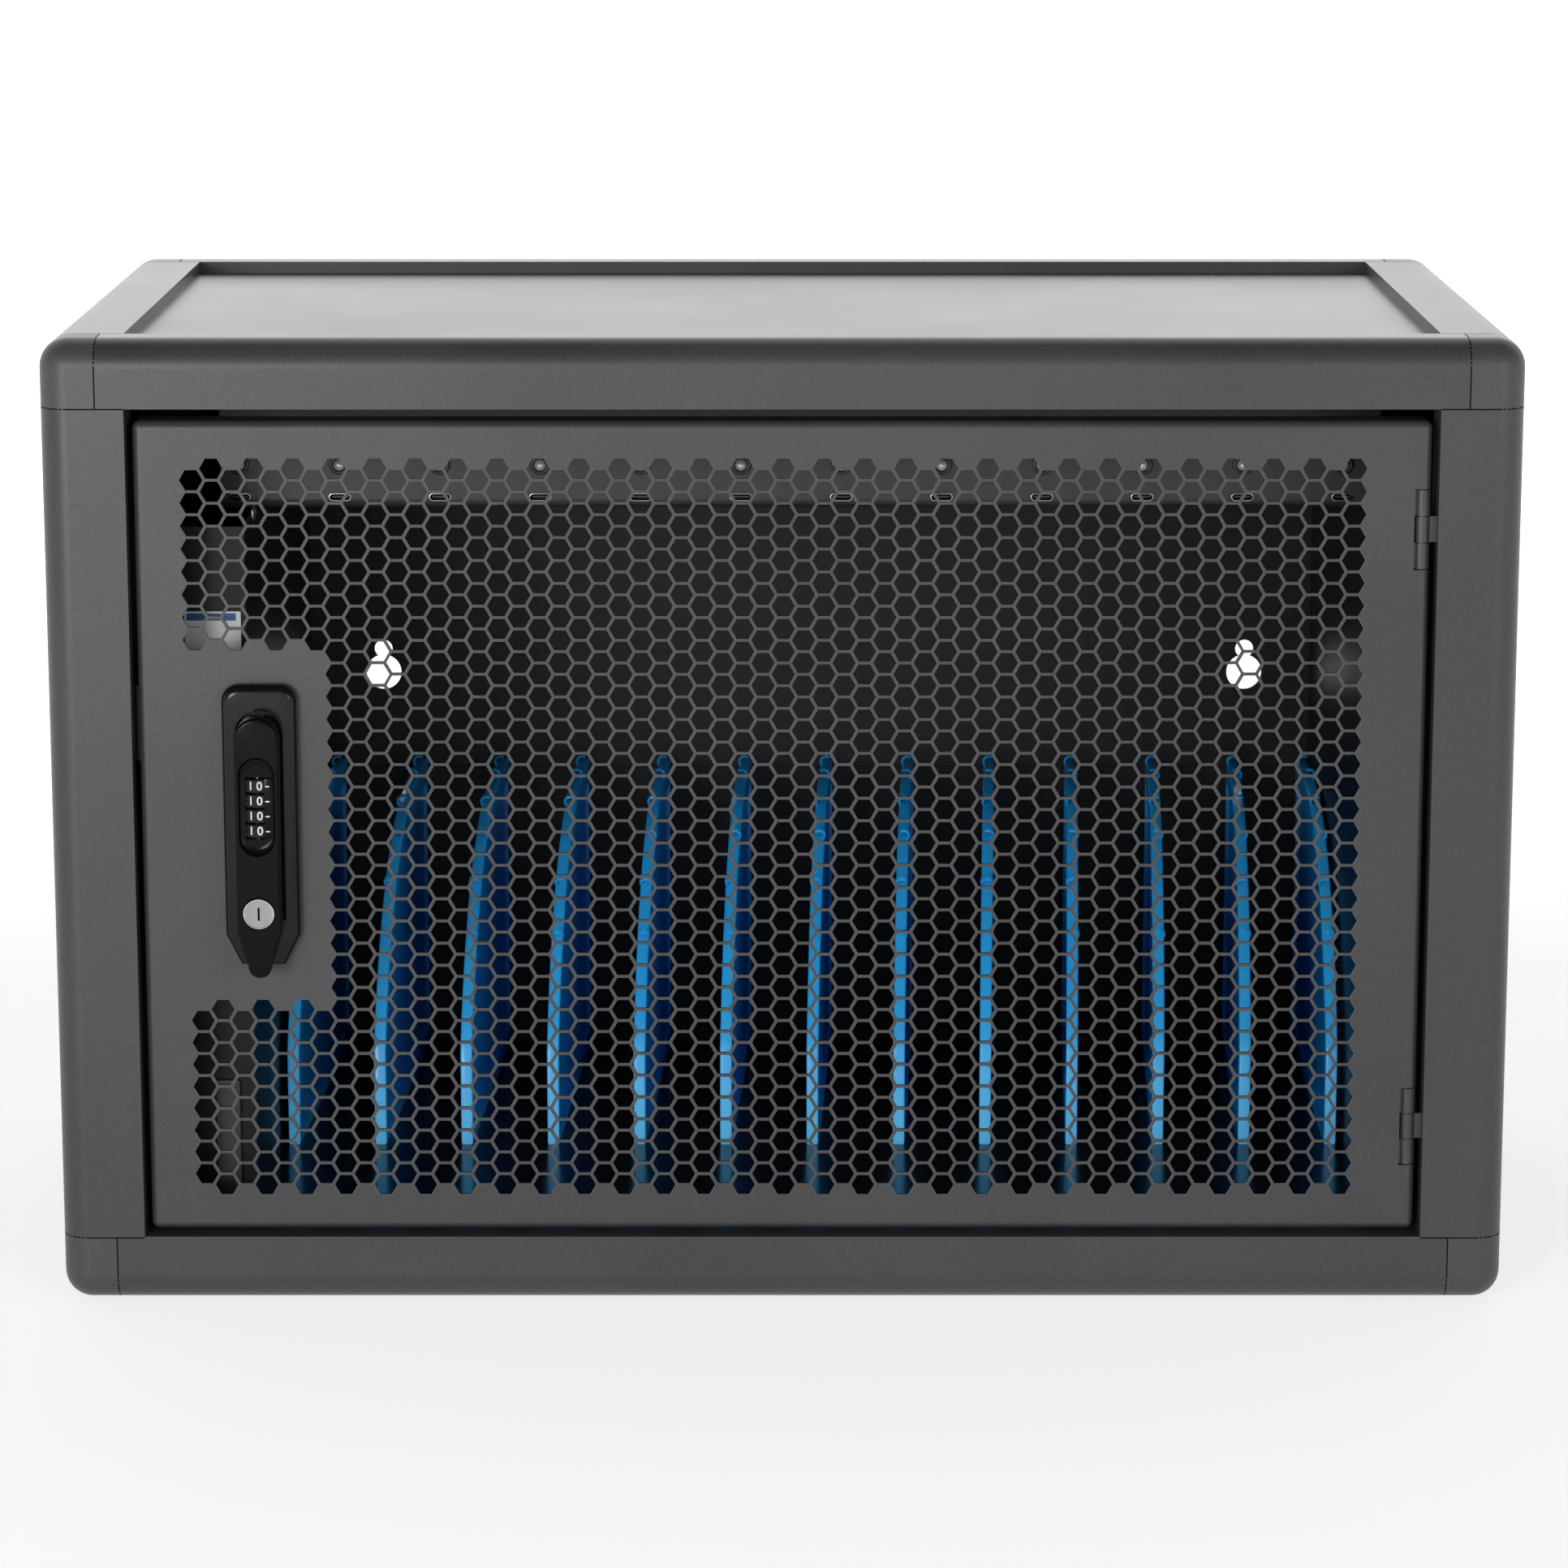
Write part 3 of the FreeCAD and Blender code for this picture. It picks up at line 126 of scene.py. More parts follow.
looks = {
    "frameCoat": dict(dark=(0.033, 0.033, 0.035), light=(0.052, 0.052, 0.055), rough=(0.34, 0.44), mottle=9,
                      grain=620, grainShare=0.7, bump=0.20, bumpDepth=0.00025),
    # the corner caps are a little paler than the coat: partly their own moulding, partly painted highlight
    "capMoulding": dict(dark=(0.044, 0.044, 0.046), light=(0.064, 0.064, 0.067), rough=(0.38, 0.48),
                        mottle=11, grain=700, grainShare=0.6, bump=0.16, bumpDepth=0.00025),
    # painted highlight: the chamfer round each perforation hole is paler than the coat
    "holeEdgePaintedHighlight": dict(dark=(0.120, 0.120, 0.119), light=(0.190, 0.190, 0.188), rough=(0.34, 0.46), mottle=30,
                     grain=700, bump=0.12),
    "liningBlack": dict(dark=(0.005, 0.005, 0.006), light=(0.010, 0.010, 0.011), rough=(0.34, 0.46), mottle=8,
                        grain=420, bump=0.10, bumpDepth=0.0003, sockets={"Specular IOR Level": 0.22}),
    "trayGloss": dict(dark=(0.005, 0.005, 0.006), light=(0.010, 0.010, 0.011), rough=(0.14, 0.22), mottle=8,
                      grain=420, bump=0.06, bumpDepth=0.0003, sockets={"Specular IOR Level": 0.4}),
    "seamShadow": dict(dark=(0.004, 0.004, 0.004), light=(0.010, 0.010, 0.010), rough=(0.7, 0.9), mottle=60,
                       sockets={"Specular IOR Level": 0.1}),
    "shelfGrey": dict(dark=(0.023, 0.024, 0.026), light=(0.036, 0.037, 0.039), rough=(0.36, 0.48), mottle=10,
                      grain=620, bump=0.18),
    "dividerBlue": dict(dark=(0.006, 0.330, 0.900), light=(0.016, 0.450, 1.000), rough=(0.18, 0.26),
                        mottle=22, grain=260, grainShare=0.25, bump=0.05, bumpDepth=0.0003,
                        sockets={"Coat Weight": 0.1, "Coat Roughness": 0.08, "Specular IOR Level": 0.32,
                                 "Subsurface Weight": 0.3, "Subsurface Radius": (0.15, 0.6, 1.0),
                                 "Subsurface Scale": 0.03}),
    "housingBlack": dict(dark=(0.003, 0.003, 0.0035), light=(0.006, 0.006, 0.0065), rough=(0.12, 0.18),
                         mottle=40, bump=0.05, sockets={"Specular IOR Level": 0.26}),
    "leverBlack": dict(dark=(0.002, 0.002, 0.0025), light=(0.004, 0.004, 0.0045), rough=(0.10, 0.16),
                       mottle=40, bump=0.04, sockets={"Specular IOR Level": 0.11}),
    "dialBlack": dict(dark=(0.004, 0.004, 0.0045), light=(0.008, 0.008, 0.0085), rough=(0.36, 0.44),
                      mottle=60, grain=1500, bump=0.08, sockets={"Specular IOR Level": 0.25}),
    "digitWhite": dict(dark=(0.72, 0.72, 0.70), light=(0.86, 0.86, 0.84), rough=(0.40, 0.50), mottle=80,
                       grain=2500, bump=0.05),
    "plugSatin": dict(dark=(0.20, 0.197, 0.19), light=(0.30, 0.297, 0.288), rough=(0.28, 0.38), mottle=90,
                      grain=2600, stretch=(1, 1, 0.08), bump=0.10, bumpDepth=0.0001,
                      sockets={"Metallic": 1.0}),
    # painted highlight: the key plug's rim is a paler copy of the plug's steel
    "plugRimPaintedHighlight": dict(dark=(0.48, 0.475, 0.46), light=(0.62, 0.615, 0.60), rough=(0.16, 0.24), mottle=90,
                    grain=2600, bump=0.05, bumpDepth=0.0001, sockets={"Metallic": 1.0}),
    "platedSteel": dict(dark=(0.46, 0.46, 0.47), light=(0.62, 0.62, 0.64), rough=(0.24, 0.38), mottle=60,
                        grain=1400, stretch=(1, 1, 0.2), bump=0.08, sockets={"Metallic": 1.0}),
    "portSteel": dict(dark=(0.30, 0.30, 0.30), light=(0.42, 0.42, 0.42), rough=(0.22, 0.32), mottle=90,
                      grain=2600, bump=0.04, sockets={"Metallic": 1.0}),
    "supplyMetal": dict(dark=(0.42, 0.42, 0.43), light=(0.56, 0.56, 0.57), rough=(0.32, 0.44), mottle=24,
                        stretch=(0.1, 1, 1), bump=0.10, sockets={"Metallic": 1.0}),
    "boardGreen": dict(dark=(0.008, 0.085, 0.028), light=(0.016, 0.150, 0.052), rough=(0.30, 0.42), mottle=70,
                       bump=0.10),
    "bezelBlack": dict(dark=(0.008, 0.008, 0.008), light=(0.016, 0.016, 0.016), rough=(0.34, 0.44), mottle=60,
                       grain=1600, bump=0.08),
    "inletBlack": dict(dark=(0.012, 0.012, 0.013), light=(0.022, 0.022, 0.023), rough=(0.42, 0.54), mottle=40,
                       grain=1200, bump=0.16),
    "rockerBlack": dict(dark=(0.010, 0.010, 0.010), light=(0.018, 0.018, 0.018), rough=(0.20, 0.28),
                        mottle=40, grain=1200, bump=0.05),
    "footRubber": dict(dark=(0.012, 0.012, 0.012), light=(0.024, 0.024, 0.024), rough=(0.70, 0.84), mottle=60,
                       grain=1400, bump=0.30),
    # painted highlight: the lamp domes are a pale grey that stands in for their glints
    "lampGlass": dict(dark=(0.420, 0.430, 0.450), light=(0.620, 0.630, 0.650), rough=(0.04, 0.08), mottle=120,
                      bump=0.01, sockets={"Specular IOR Level": 1.0, "Coat Weight": 1.0,
                                          "Coat Roughness": 0.03, "Coat IOR": 2.1}),
    "stickerWhite": dict(dark=(0.66, 0.67, 0.68), light=(0.78, 0.79, 0.80), rough=(0.36, 0.46), mottle=60,
                         grain=1800, bump=0.05),
    "stickerBlue": dict(dark=(0.004, 0.060, 0.220), light=(0.008, 0.090, 0.300), rough=(0.34, 0.42),
                        mottle=60, grain=1800, bump=0.05),
}
surfaces = {name: surfaceMaterial(name, look) for name, look in looks.items()}


# painted light on the dividers' front edges: a paler colour low down and a faint glow
frontEdgePaintedLight = dict(
    pale=(0.17, 0.58, 1.0), paleLevels=(0.04, 0.085), paleShares=(0.95, 0),
    glow=(0.08, 0.50, 1.0), glowLevels=(0.05, 0.17), glowStrengths=(0.27, 0.12),
    depths=(0.05, 0.11),  # the inner rim behind these keeps its plain blue
)


def brightFrontEdge(material):
    # painted light: the front edge of the blue moulding is painted paler low down and made to glow a little,
    # in place of the light that falls on it
    tree = material.node_tree
    link = tree.links.new
    shader = tree.nodes["Principled BSDF"]
    base = shader.inputs["Base Color"].links[0].from_socket
    place = shaderNode(tree, "ShaderNodeNewGeometry")
    spot = shaderNode(tree, "ShaderNodeSeparateXYZ")
    link(place.outputs["Position"], spot.inputs["Vector"])
    side = shaderNode(tree, "ShaderNodeSeparateXYZ")
    link(place.outputs["Normal"], side.inputs["Vector"])
    near = mapRange(tree, spot.outputs["Y"], frontEdgePaintedLight["depths"], (-1, 0))
    forward = mathNode(tree, "MULTIPLY", side.outputs["Y"], near, use_clamp=True)
    paleness = mapRange(tree, spot.outputs["Z"], frontEdgePaintedLight["paleLevels"], frontEdgePaintedLight["paleShares"])
    glow = mapRange(tree, spot.outputs["Z"], frontEdgePaintedLight["glowLevels"], frontEdgePaintedLight["glowStrengths"])

    mix = shaderNode(tree, "ShaderNodeMix", data_type="RGBA")
    mix.inputs["B"].default_value = (*frontEdgePaintedLight["pale"], 1)
    link(mathNode(tree, "MULTIPLY", forward, paleness), mix.inputs["Factor"])
    link(base, mix.inputs["A"])
    link(mix.outputs["Result"], shader.inputs["Base Color"])
    shader.inputs["Emission Color"].default_value = (*frontEdgePaintedLight["glow"], 1)
    link(mathNode(tree, "MULTIPLY", forward, glow), shader.inputs["Emission Strength"])


brightFrontEdge(surfaces["dividerBlue"])
print("materials made:", len(surfaces))


# Helpers for pieces

usualCrease = 32  # edges sharper than this many degrees stay sharp
weldGap = 1e-7
sheetCut = dict(kind=1, tolerance=1e-5)


def finishMesh(mesh, angle=usualCrease):
    mesh.shade_smooth()
    mesh.set_sharp_from_angle(angle=math.radians(angle))


def addPiece(name, mesh, surface, body, replaced=()):
    piece = bpy.data.objects.new(name, mesh)
    scene.collection.objects.link(piece)
    for one in [surface] if isinstance(surface, str) else surface:
        mesh.materials.append(surfaces[one])
    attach(piece, body)
    if replaced:
        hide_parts(*replaced)
    return piece


def meshFrom(name, points, faces, kinds=None, angle=usualCrease):
    mesh = bpy.data.meshes.new(name)
    mesh.from_pydata([tuple(c * mm for c in point) for point in points], [], faces)
    if kinds:
        mesh.polygons.foreach_set("material_index", kinds)
    form = bmesh.new()
    form.from_mesh(mesh)
    bmesh.ops.remove_doubles(form, verts=form.verts, dist=weldGap)
    bmesh.ops.recalc_face_normals(form, faces=form.faces)
    form.to_mesh(mesh)
    form.free()
    mesh.update()
    finishMesh(mesh, angle)
    return mesh


def ringFaces(start, rings, count, ends="capped"):
    # faces between rings of points that follow each other: capped, open, or joined into a hoop
    faces = []
    for ring in range(rings if ends == "hoop" else rings - 1):
        near, far = start + ring * count, start + (ring + 1) % rings * count
        faces += [[near + k, near + (k + 1) % count, far + (k + 1) % count, far + k] for k in range(count)]
    if ends == "capped":
        last = start + (rings - 1) * count
        faces += [[start + k for k in range(count)], [last + k for k in range(count)]]
    return faces


def cutSheet(outline, holes):
    # the triangles of a flat outline that lie outside all its holes
    points, faces = [], []
    for loop in [outline] + holes:
        faces.append(list(range(len(points), len(points) + len(loop))))
        points.extend(Vector(point) for point in loop)
    result = delaunay_2d_cdt(points, [], faces, sheetCut["kind"], sheetCut["tolerance"])
    flat, triangles, owners = result[0], result[2], result[5]
    return flat, [triangle for triangle, owner in zip(triangles, owners) if owner == [0]]


class Shell:
    # plates and walls stacked along one axis; a loop gives the other two coordinates, in their order
    def __init__(self, axis="y"):
        self.axis = axis
        self.points, self.faces, self.kinds = [], [], []

    def put(self, loop, level):
        start = len(self.points)
        for u, v in loop:
            self.points.append({"x": (level, u, v), "y": (u, level, v), "z": (u, v, level)}[self.axis])
        return start

    def plate(self, outline, holes, level, kind=0):
        flat, triangles = cutSheet(outline, holes)
        start = self.put(flat, level)
        self.faces += [[start + k for k in triangle] for triangle in triangles]
        self.kinds += [kind] * len(triangles)

    def wall(self, rings, kind=0):
        starts = [self.put(loop, level) for level, loop in rings]
        made = ringFaces(starts[0], len(rings), len(rings[0][1]), "open")
        self.faces += made
        self.kinds += [kind] * len(made)

    def block(self, outline, face, back, edge=0, steps=1, holes=(), kind=0):
        # a closed block with a rounded front edge; the holes go into its front alone
        rings = roundedRings(outline, face, back, edge, steps) if edge else [(face, outline), (back, outline)]
        self.plate(rings[0][1], list(holes), face, kind)
        self.wall(rings, kind)
        self.plate(outline, [], back, kind)

    def mesh(self, name, angle=usualCrease):
        return meshFrom(name, self.points, self.faces, self.kinds, angle)


def arc(x, z, radiusX, radiusZ, start, end, steps):
    turns = [math.radians(start + (end - start) * k / steps) for k in range(steps + 1)]
    return [(x + radiusX * math.cos(turn), z + radiusZ * math.sin(turn)) for turn in turns]


def circle(x, z, radius, steps=40):
    return arc(x, z, radius, radius, 0, 360, steps)[:-1]


def stadium(x, z, halfLong, halfShort, steps=14):
    run = halfLong - halfShort
    return (arc(x, z + run, halfShort, halfShort, 0, 180, steps)
            + arc(x, z - run, halfShort, halfShort, 180, 360, steps))


def lying(x, z, halfLong, halfShort, steps):
    return [(x + v, z - u) for u, v in stadium(0, 0, halfLong, halfShort, steps)]


def rectangle(left, right, low, high):
    return [(left, low), (right, low), (right, high), (left, high)]


def roundedRectangle(left, right, low, high, corner, steps):
    loop = []
    for x, z, start in ((right - corner, high - corner, 0), (left + corner, high - corner, 90),
                        (left + corner, low + corner, 180), (right - corner, low + corner, 270)):
        loop += arc(x, z, corner, corner, start, start + 90, steps)
    return loop


leastShare = 0.3


def inset(loop, distance):
    # the loop drawn in by a distance, with its sharpest corners held back
    moved = []
    for k, (x, z) in enumerate(loop):
        before, after = Vector(loop[k - 1]), Vector(loop[(k + 1) % len(loop)])
        here = Vector((x, z))
        first, second = (here - before).normalized(), (after - here).normalized()
        normal = Vector((-first.y, first.x)) + Vector((-second.y, second.x))
        share = 1 + first.dot(second)
        moved.append(tuple(here + normal / max(share, leastShare) * distance))
    return moved


def roundedRings(outline, face, back, radius, steps=6):
    rings = []
    for k in range(steps + 1):
        turn = math.pi / 2 * k / steps
        rings.append((face + radius * (1 - math.cos(turn)), inset(outline, radius * (1 - math.sin(turn)))))
    return rings + [(back, outline)]


def lathe(profile, places, axis="y", steps=24):
    # turned pieces: profile of (radius, depth) pairs from the middle of the face outwards
    points, faces = [], []
    for place in places:
        faces += ringFaces(len(points), len(profile), steps)
        for radius, depth in profile:
            for across, up in circle(0, 0, radius, steps):
                offset = (across, depth, up) if axis == "y" else (depth, across, up)
                points.append(tuple(a + b for a, b in zip(place, offset)))
    return points, faces


def cutAway(piece, low, high):
    # takes a block out of a piece for good
    block = bmesh.new()
    size = [(b - a) * mm for a, b in zip(low, high)]
    middle = Vector([(a + b) / 2 * mm for a, b in zip(low, high)])
    bmesh.ops.create_cube(block, size=1, matrix=Matrix.Translation(middle) @ Matrix.Diagonal((*size, 1)))
    blockMesh = bpy.data.meshes.new("cutBlock")
    block.to_mesh(blockMesh)
    block.free()
    cutter = bpy.data.objects.new("cutBlock", blockMesh)
    scene.collection.objects.link(cutter)
    cut = piece.modifiers.new("cut", "BOOLEAN")
    cut.object = cutter
    cut.solver = "EXACT"
    bpy.context.view_layer.update()
    result = bpy.data.meshes.new_from_object(piece.evaluated_get(bpy.context.evaluated_depsgraph_get()))
    piece.modifiers.clear()
    piece.data = result
    finishMesh(result)
    bpy.data.objects.remove(cutter)


softEdge = dict(segments=2, angle=40)


def softenEdges(piece, width):
    bevel = piece.modifiers.new("softEdges", "BEVEL")
    bevel.width = width * mm
    bevel.segments = softEdge["segments"]
    bevel.limit_method = "ANGLE"
    bevel.angle_limit = math.radians(softEdge["angle"])
    bevel.harden_normals = True


# The carried-over solids and what covers them

frameNames = [f"{level}_{side}_rail" for level in ("top", "bottom")
              for side in ("front", "rear", "left", "right")]
frameNames += [f"{end}_{side}_post" for end in ("front", "rear") for side in ("left", "right")]
nodeFinish = {
    "frameCoat": frameNames + ["top_panel", "bottom_panel", "left_side_panel", "right_side_panel",
                               "rear_panel", "door_panel", "door_hinge_knuckles", "frame_hinge_knuckles",
                               "strike_bracket"],
    "capMoulding": ["top_corner_caps", "bottom_corner_caps"],
    "footRubber": ["foot_pads"],
    "liningBlack": ["inner_left_wall", "inner_right_wall"],
    "trayGloss": ["divider_tray"],
    "shelfGrey": ["charger_tray"],
    "dividerBlue": [f"divider_{number:02d}" for number in range(1, 14)],
    "boardGreen": ["charger_board"],
    "portSteel": ["usb_c_ports"],
    # the lock's spindle takes the bezels' black as painted shade inside the lock's well
    "bezelBlack": ["led_bezels", "spindle"],
    "lampGlass": ["led_lenses"],
    "supplyMetal": ["power_supply"],
    "inletBlack": ["power_inlet"],
    "rockerBlack": ["switch_rocker"],
    "platedSteel": ["hinge_pins", "lock_nut", "cam_latch", "lever_pins"],
    "housingBlack": ["lock_housing"],
    "leverBlack": ["lever"],
    "dialBlack": [f"dial_{number}" for number in range(1, 5)],
    "plugSatin": ["key_plug"],
}
for finish, names in nodeFinish.items():
    for name in names:
        mesh = nodes[name].data
        mesh.materials.clear()
        mesh.materials.append(surfaces[finish])
        mesh.polygons.foreach_set("material_index", [0] * len(mesh.polygons))
        finishMesh(mesh)

# painted shade: the faces of the rear panel and the divider tray turned towards the bays are given the dull
# black
forwardNormal = -0.5  # faces turned further towards the door than this
for name in ("rear_panel", "divider_tray"):
    mesh = nodes[name].data  # dull black towards the bays, coated or glossy elsewhere
    mesh.materials.append(surfaces["liningBlack"])
    for face in mesh.polygons:
        face.material_index = 1 if face.normal.y < forwardNormal else 0

edgeWidths = {"capMoulding": 0.5, "footRubber": 0.3, "liningBlack": 0.4, "platedSteel": 0.25,
              "plugSatin": 0.35, "inletBlack": 0.4, "rockerBlack": 0.3}
frameEdge = 0.5  # at the seams between rails, posts and caps
for finish, width in edgeWidths.items():
    for name in nodeFinish[finish]:
        softenEdges(nodes[name], width)
for name in frameNames:
    softenEdges(nodes[name], frameEdge)
print("solids dressed")


# The door: a folded tray with the real hexagonal perforation

door = dict(
    halfWide=249.5, low=30.7, high=352.5, front=-143.3, rear=-128.3, sheet=1.5, fold=3.0, foldSteps=6,
    cornerSteps=5, leastCorner=0.02, rimEdge=0.3, crease=20,
    columns=58, firstColumn=-227.2, lastColumn=220.1,  # hole centres across
    rows=33, topRow=334.2, bottomRow=48.9,  # hole centres in the long columns
    acrossFlats=7.85, chamfer=0.24,
    padColumns=7, padRows=(8, 24),  # holes left out round the lock
    lockHole=(-202.5, 231.7, 11.2), lockSteps=48,
    notchLeft=243.1, notchLevels=(72.7, 310.5), notchHalf=15.7, notchRear=-136.9,
    cutFront=4, cutReach=20,  # how far a notch's cutter stands out
)


def hexagon(x, z, acrossFlats):
    reach = acrossFlats / math.sqrt(3)
    return [(x + reach * math.cos(k * math.pi / 3), z + reach * math.sin(k * math.pi / 3)) for k in range(6)]


def perforationCentres():
    step = (door["lastColumn"] - door["firstColumn"]) / (door["columns"] - 1)
    drop = (door["topRow"] - door["bottomRow"]) / (door["rows"] - 1)
    for column in range(door["columns"]):
        isLong = column % 2 == 1
        for row in range(door["rows"] if isLong else door["rows"] - 1):
            if column < door["padColumns"] and door["padRows"][0] <= row < door["padRows"][1]:
                continue
            yield door["firstColumn"] + step * column, door["topRow"] - drop * (row + (0 if isLong else 0.5))


def makeDoorSheet():
    right = door["halfWide"] - door["fold"]
    left, low, high = -right, door["low"] + door["fold"], door["high"] - door["fold"]
    outline = [(left, low), (right, low)]
    for level in door["notchLevels"]:
        outline += [(right, level - door["notchHalf"]), (door["notchLeft"], level - door["notchHalf"]),
                    (door["notchLeft"], level + door["notchHalf"]), (right, level + door["notchHalf"])]
    outline += [(right, high), (left, high)]
    centres = list(perforationCentres())
    lockHole = circle(*door["lockHole"], door["lockSteps"])
    wide = door["acrossFlats"] + 2 * door["chamfer"]
    front, back = door["front"], door["front"] + door["sheet"]
    sheet = Shell()
    mouths = [hexagon(x, z, wide) for x, z in centres]
    holes = [hexagon(x, z, door["acrossFlats"]) for x, z in centres]
    sheet.plate(outline, mouths + [lockHole], front)
    sheet.plate(outline, holes + [lockHole], back)
    for mouth, hole in zip(mouths, holes):
        # the chamfer ring takes the paler colour, a painted highlight on the hole edges
        sheet.wall([(front, mouth), (front + door["chamfer"], hole)], kind=1)
        sheet.wall([(front + door["chamfer"], hole), (back, hole)])
    sheet.wall([(front, lockHole), (back, lockHole)])
    sheet.wall([(front, outline), (back, outline)])
    mesh = sheet.mesh("doorSheet", door["crease"])
    addPiece("doorSheet", mesh, ["frameCoat", "holeEdgePaintedHighlight"], "door", ["door_panel"])
    print("door sheet:", len(centres), "holes,", len(sheet.faces), "faces")


def makeDoorRim():
    fold, sheet, front, rear = door["fold"], door["sheet"], door["front"], door["rear"]
    inner, edge, steps = fold - sheet, door["rimEdge"], door["foldSteps"]
    profile = arc(fold, front + fold, -fold, -fold, 90, 0, steps)
    profile += [(0, rear - edge), (edge, rear), (sheet - edge, rear), (sheet, rear - edge)]
    profile += arc(fold, front + fold, -inner, -inner, 0, 90, steps)
    points = []
    for drawnIn, y in profile:
        right, low, high = door["halfWide"] - drawnIn, door["low"] + drawnIn, door["high"] - drawnIn
        corner = max(fold - drawnIn, door["leastCorner"])
        loop = roundedRectangle(-right, right, low, high, corner, door["cornerSteps"])
        points += [(x, y, z) for x, z in loop]
    mesh = meshFrom("doorRim", points, ringFaces(0, len(profile), len(loop), "hoop"))
    rim = addPiece("doorRim", mesh, "frameCoat", "door", ["door_panel"])
    left, half = door["notchLeft"], door["notchHalf"]
    for level in door["notchLevels"]:
        cutAway(rim, (left, front - door["cutFront"], level - half),
                (left + door["cutReach"], door["notchRear"], level + half))


makeDoorSheet()
makeDoorRim()
print("door made")


# The lock: a housing with a shallow bed, the lever, four number wheels and the key plug

lock = dict(
    x=-202.5, spindle=231.7,
    housingHalf=14.5, housingTop=250.7, housingLow=139.7, housingFace=-150.3, doorFace=-143.3,
    cornerRound=6.5, toeHalf=8.5, toeTall=12, shoulder=3.4,
    bedHalf=9.3, bedDeep=1.1, bedLow=158, wellRadius=9, wellFloor=-143.05, barrelRadius=11, barrelRear=-128.3,
    bore=5.15,
    leverHalf=8.5, leverFace=-163.3, leverBack=-150.7, leverLow=137.7, taper=18, tipHalf=4.4, tipRise=4.0,
    leverRound=1.25,
    windowMiddle=205.5, windowHalf=7, windowLong=19.5, windowDeep=2.5, floorHalf=6.1, floorLong=15.6,
    roomLow=192.5, roomHigh=216.9, roomMouth=4.45, roomHalf=6.2, roomFlare=(0.8, 5.15), roomLip=0.9,
    plugLevel=163.4, plugHole=6.15, plugMouth=0.35,
    slotHalf=2.8, slotLow=228.1, slotFront=-158.9, slotReach=1,
    cornerSteps=8, endSteps=28, tipSteps=16, scoopSteps=8, holeSteps=48, boreSteps=32,
)
tick = dict(left=2.95, right=6.5, face=-162.3, back=-161.85, margin=0.3, edge=0.2, edgeSteps=3, dashSteps=6,
            dashLong=0.85, dashShort=0.26, dashShift=0.55, dashProud=0.05, dashDeep=0.1)
wheel = dict(
    bodies=("first_dial", "second_dial", "third_dial", "fourth_dial"),
    levels=(213.55, 207.65, 201.75, 195.85),
    axis=-156.7, radius=5.8, thick=5.3, edge=0.3, bore=1.3, boreSteps=20, sides=10, turned=12, crease=20,
    digitSize=4.7, digitProud=0.03, digitBold=0.09,
)
plug = dict(radius=6, face=-163.7, rear=-151.3, rim=0.55, sunk=0.25, slotHalf=0.42, slotTall=2.6, slotDeep=4,
            dish=(0.05, 0.08), lip=0.15, edge=0.2, sides=48)


def makeHousing():
    x, half, top, low = lock["x"], lock["housingHalf"], lock["housingTop"], lock["housingLow"]
    turn, face, steps = lock["cornerRound"], lock["housingFace"], lock["cornerSteps"]
    outline = [(x - lock["toeHalf"], low), (x + lock["toeHalf"], low), (x + half, low + lock["toeTall"])]
    outline += arc(x + half - turn, top - turn, turn, turn, 0, 90, steps)
    outline += arc(x - half + turn, top - turn, turn, turn, 90, 180, steps)
    outline += [(x - half, low + lock["toeTall"])]
    bed = [(x - lock["bedHalf"], lock["bedLow"]), (x + lock["bedHalf"], lock["bedLow"])]
    bed += arc(x, lock["spindle"], lock["bedHalf"], lock["bedHalf"], 0, 180, lock["endSteps"])
    well = circle(x, lock["spindle"], lock["wellRadius"], lock["holeSteps"])
    bore = circle(x, lock["spindle"], lock["bore"], lock["boreSteps"])
    barrel = circle(x, lock["spindle"], lock["barrelRadius"])
    bedLevel = face + lock["bedDeep"]
    shell = Shell()
    rings = roundedRings(outline, face, lock["doorFace"], lock["shoulder"], steps)
    shell.plate(rings[0][1], [bed], face)
    shell.wall(rings)
    shell.wall([(face, bed), (bedLevel, bed)])
    # the bed, the well and its floor take the shadow black: painted shade in the hollow round the lever's
    # pivot
    shell.plate(bed, [well], bedLevel, kind=1)
    shell.wall([(bedLevel, well), (lock["wellFloor"], well)], kind=1)
    shell.plate(well, [bore], lock["wellFloor"], kind=1)
    shell.wall([(lock["wellFloor"], bore), (lock["barrelRear"], bore)])
    shell.plate(barrel, [bore], lock["barrelRear"])
    shell.wall([(lock["doorFace"], barrel), (lock["barrelRear"], barrel)])
    shell.plate(outline, [barrel], lock["doorFace"])
    surface = ["housingBlack", "seamShadow"]
    addPiece("lockHousing", shell.mesh("lockHousing"), surface, "door", ["lock_housing"])


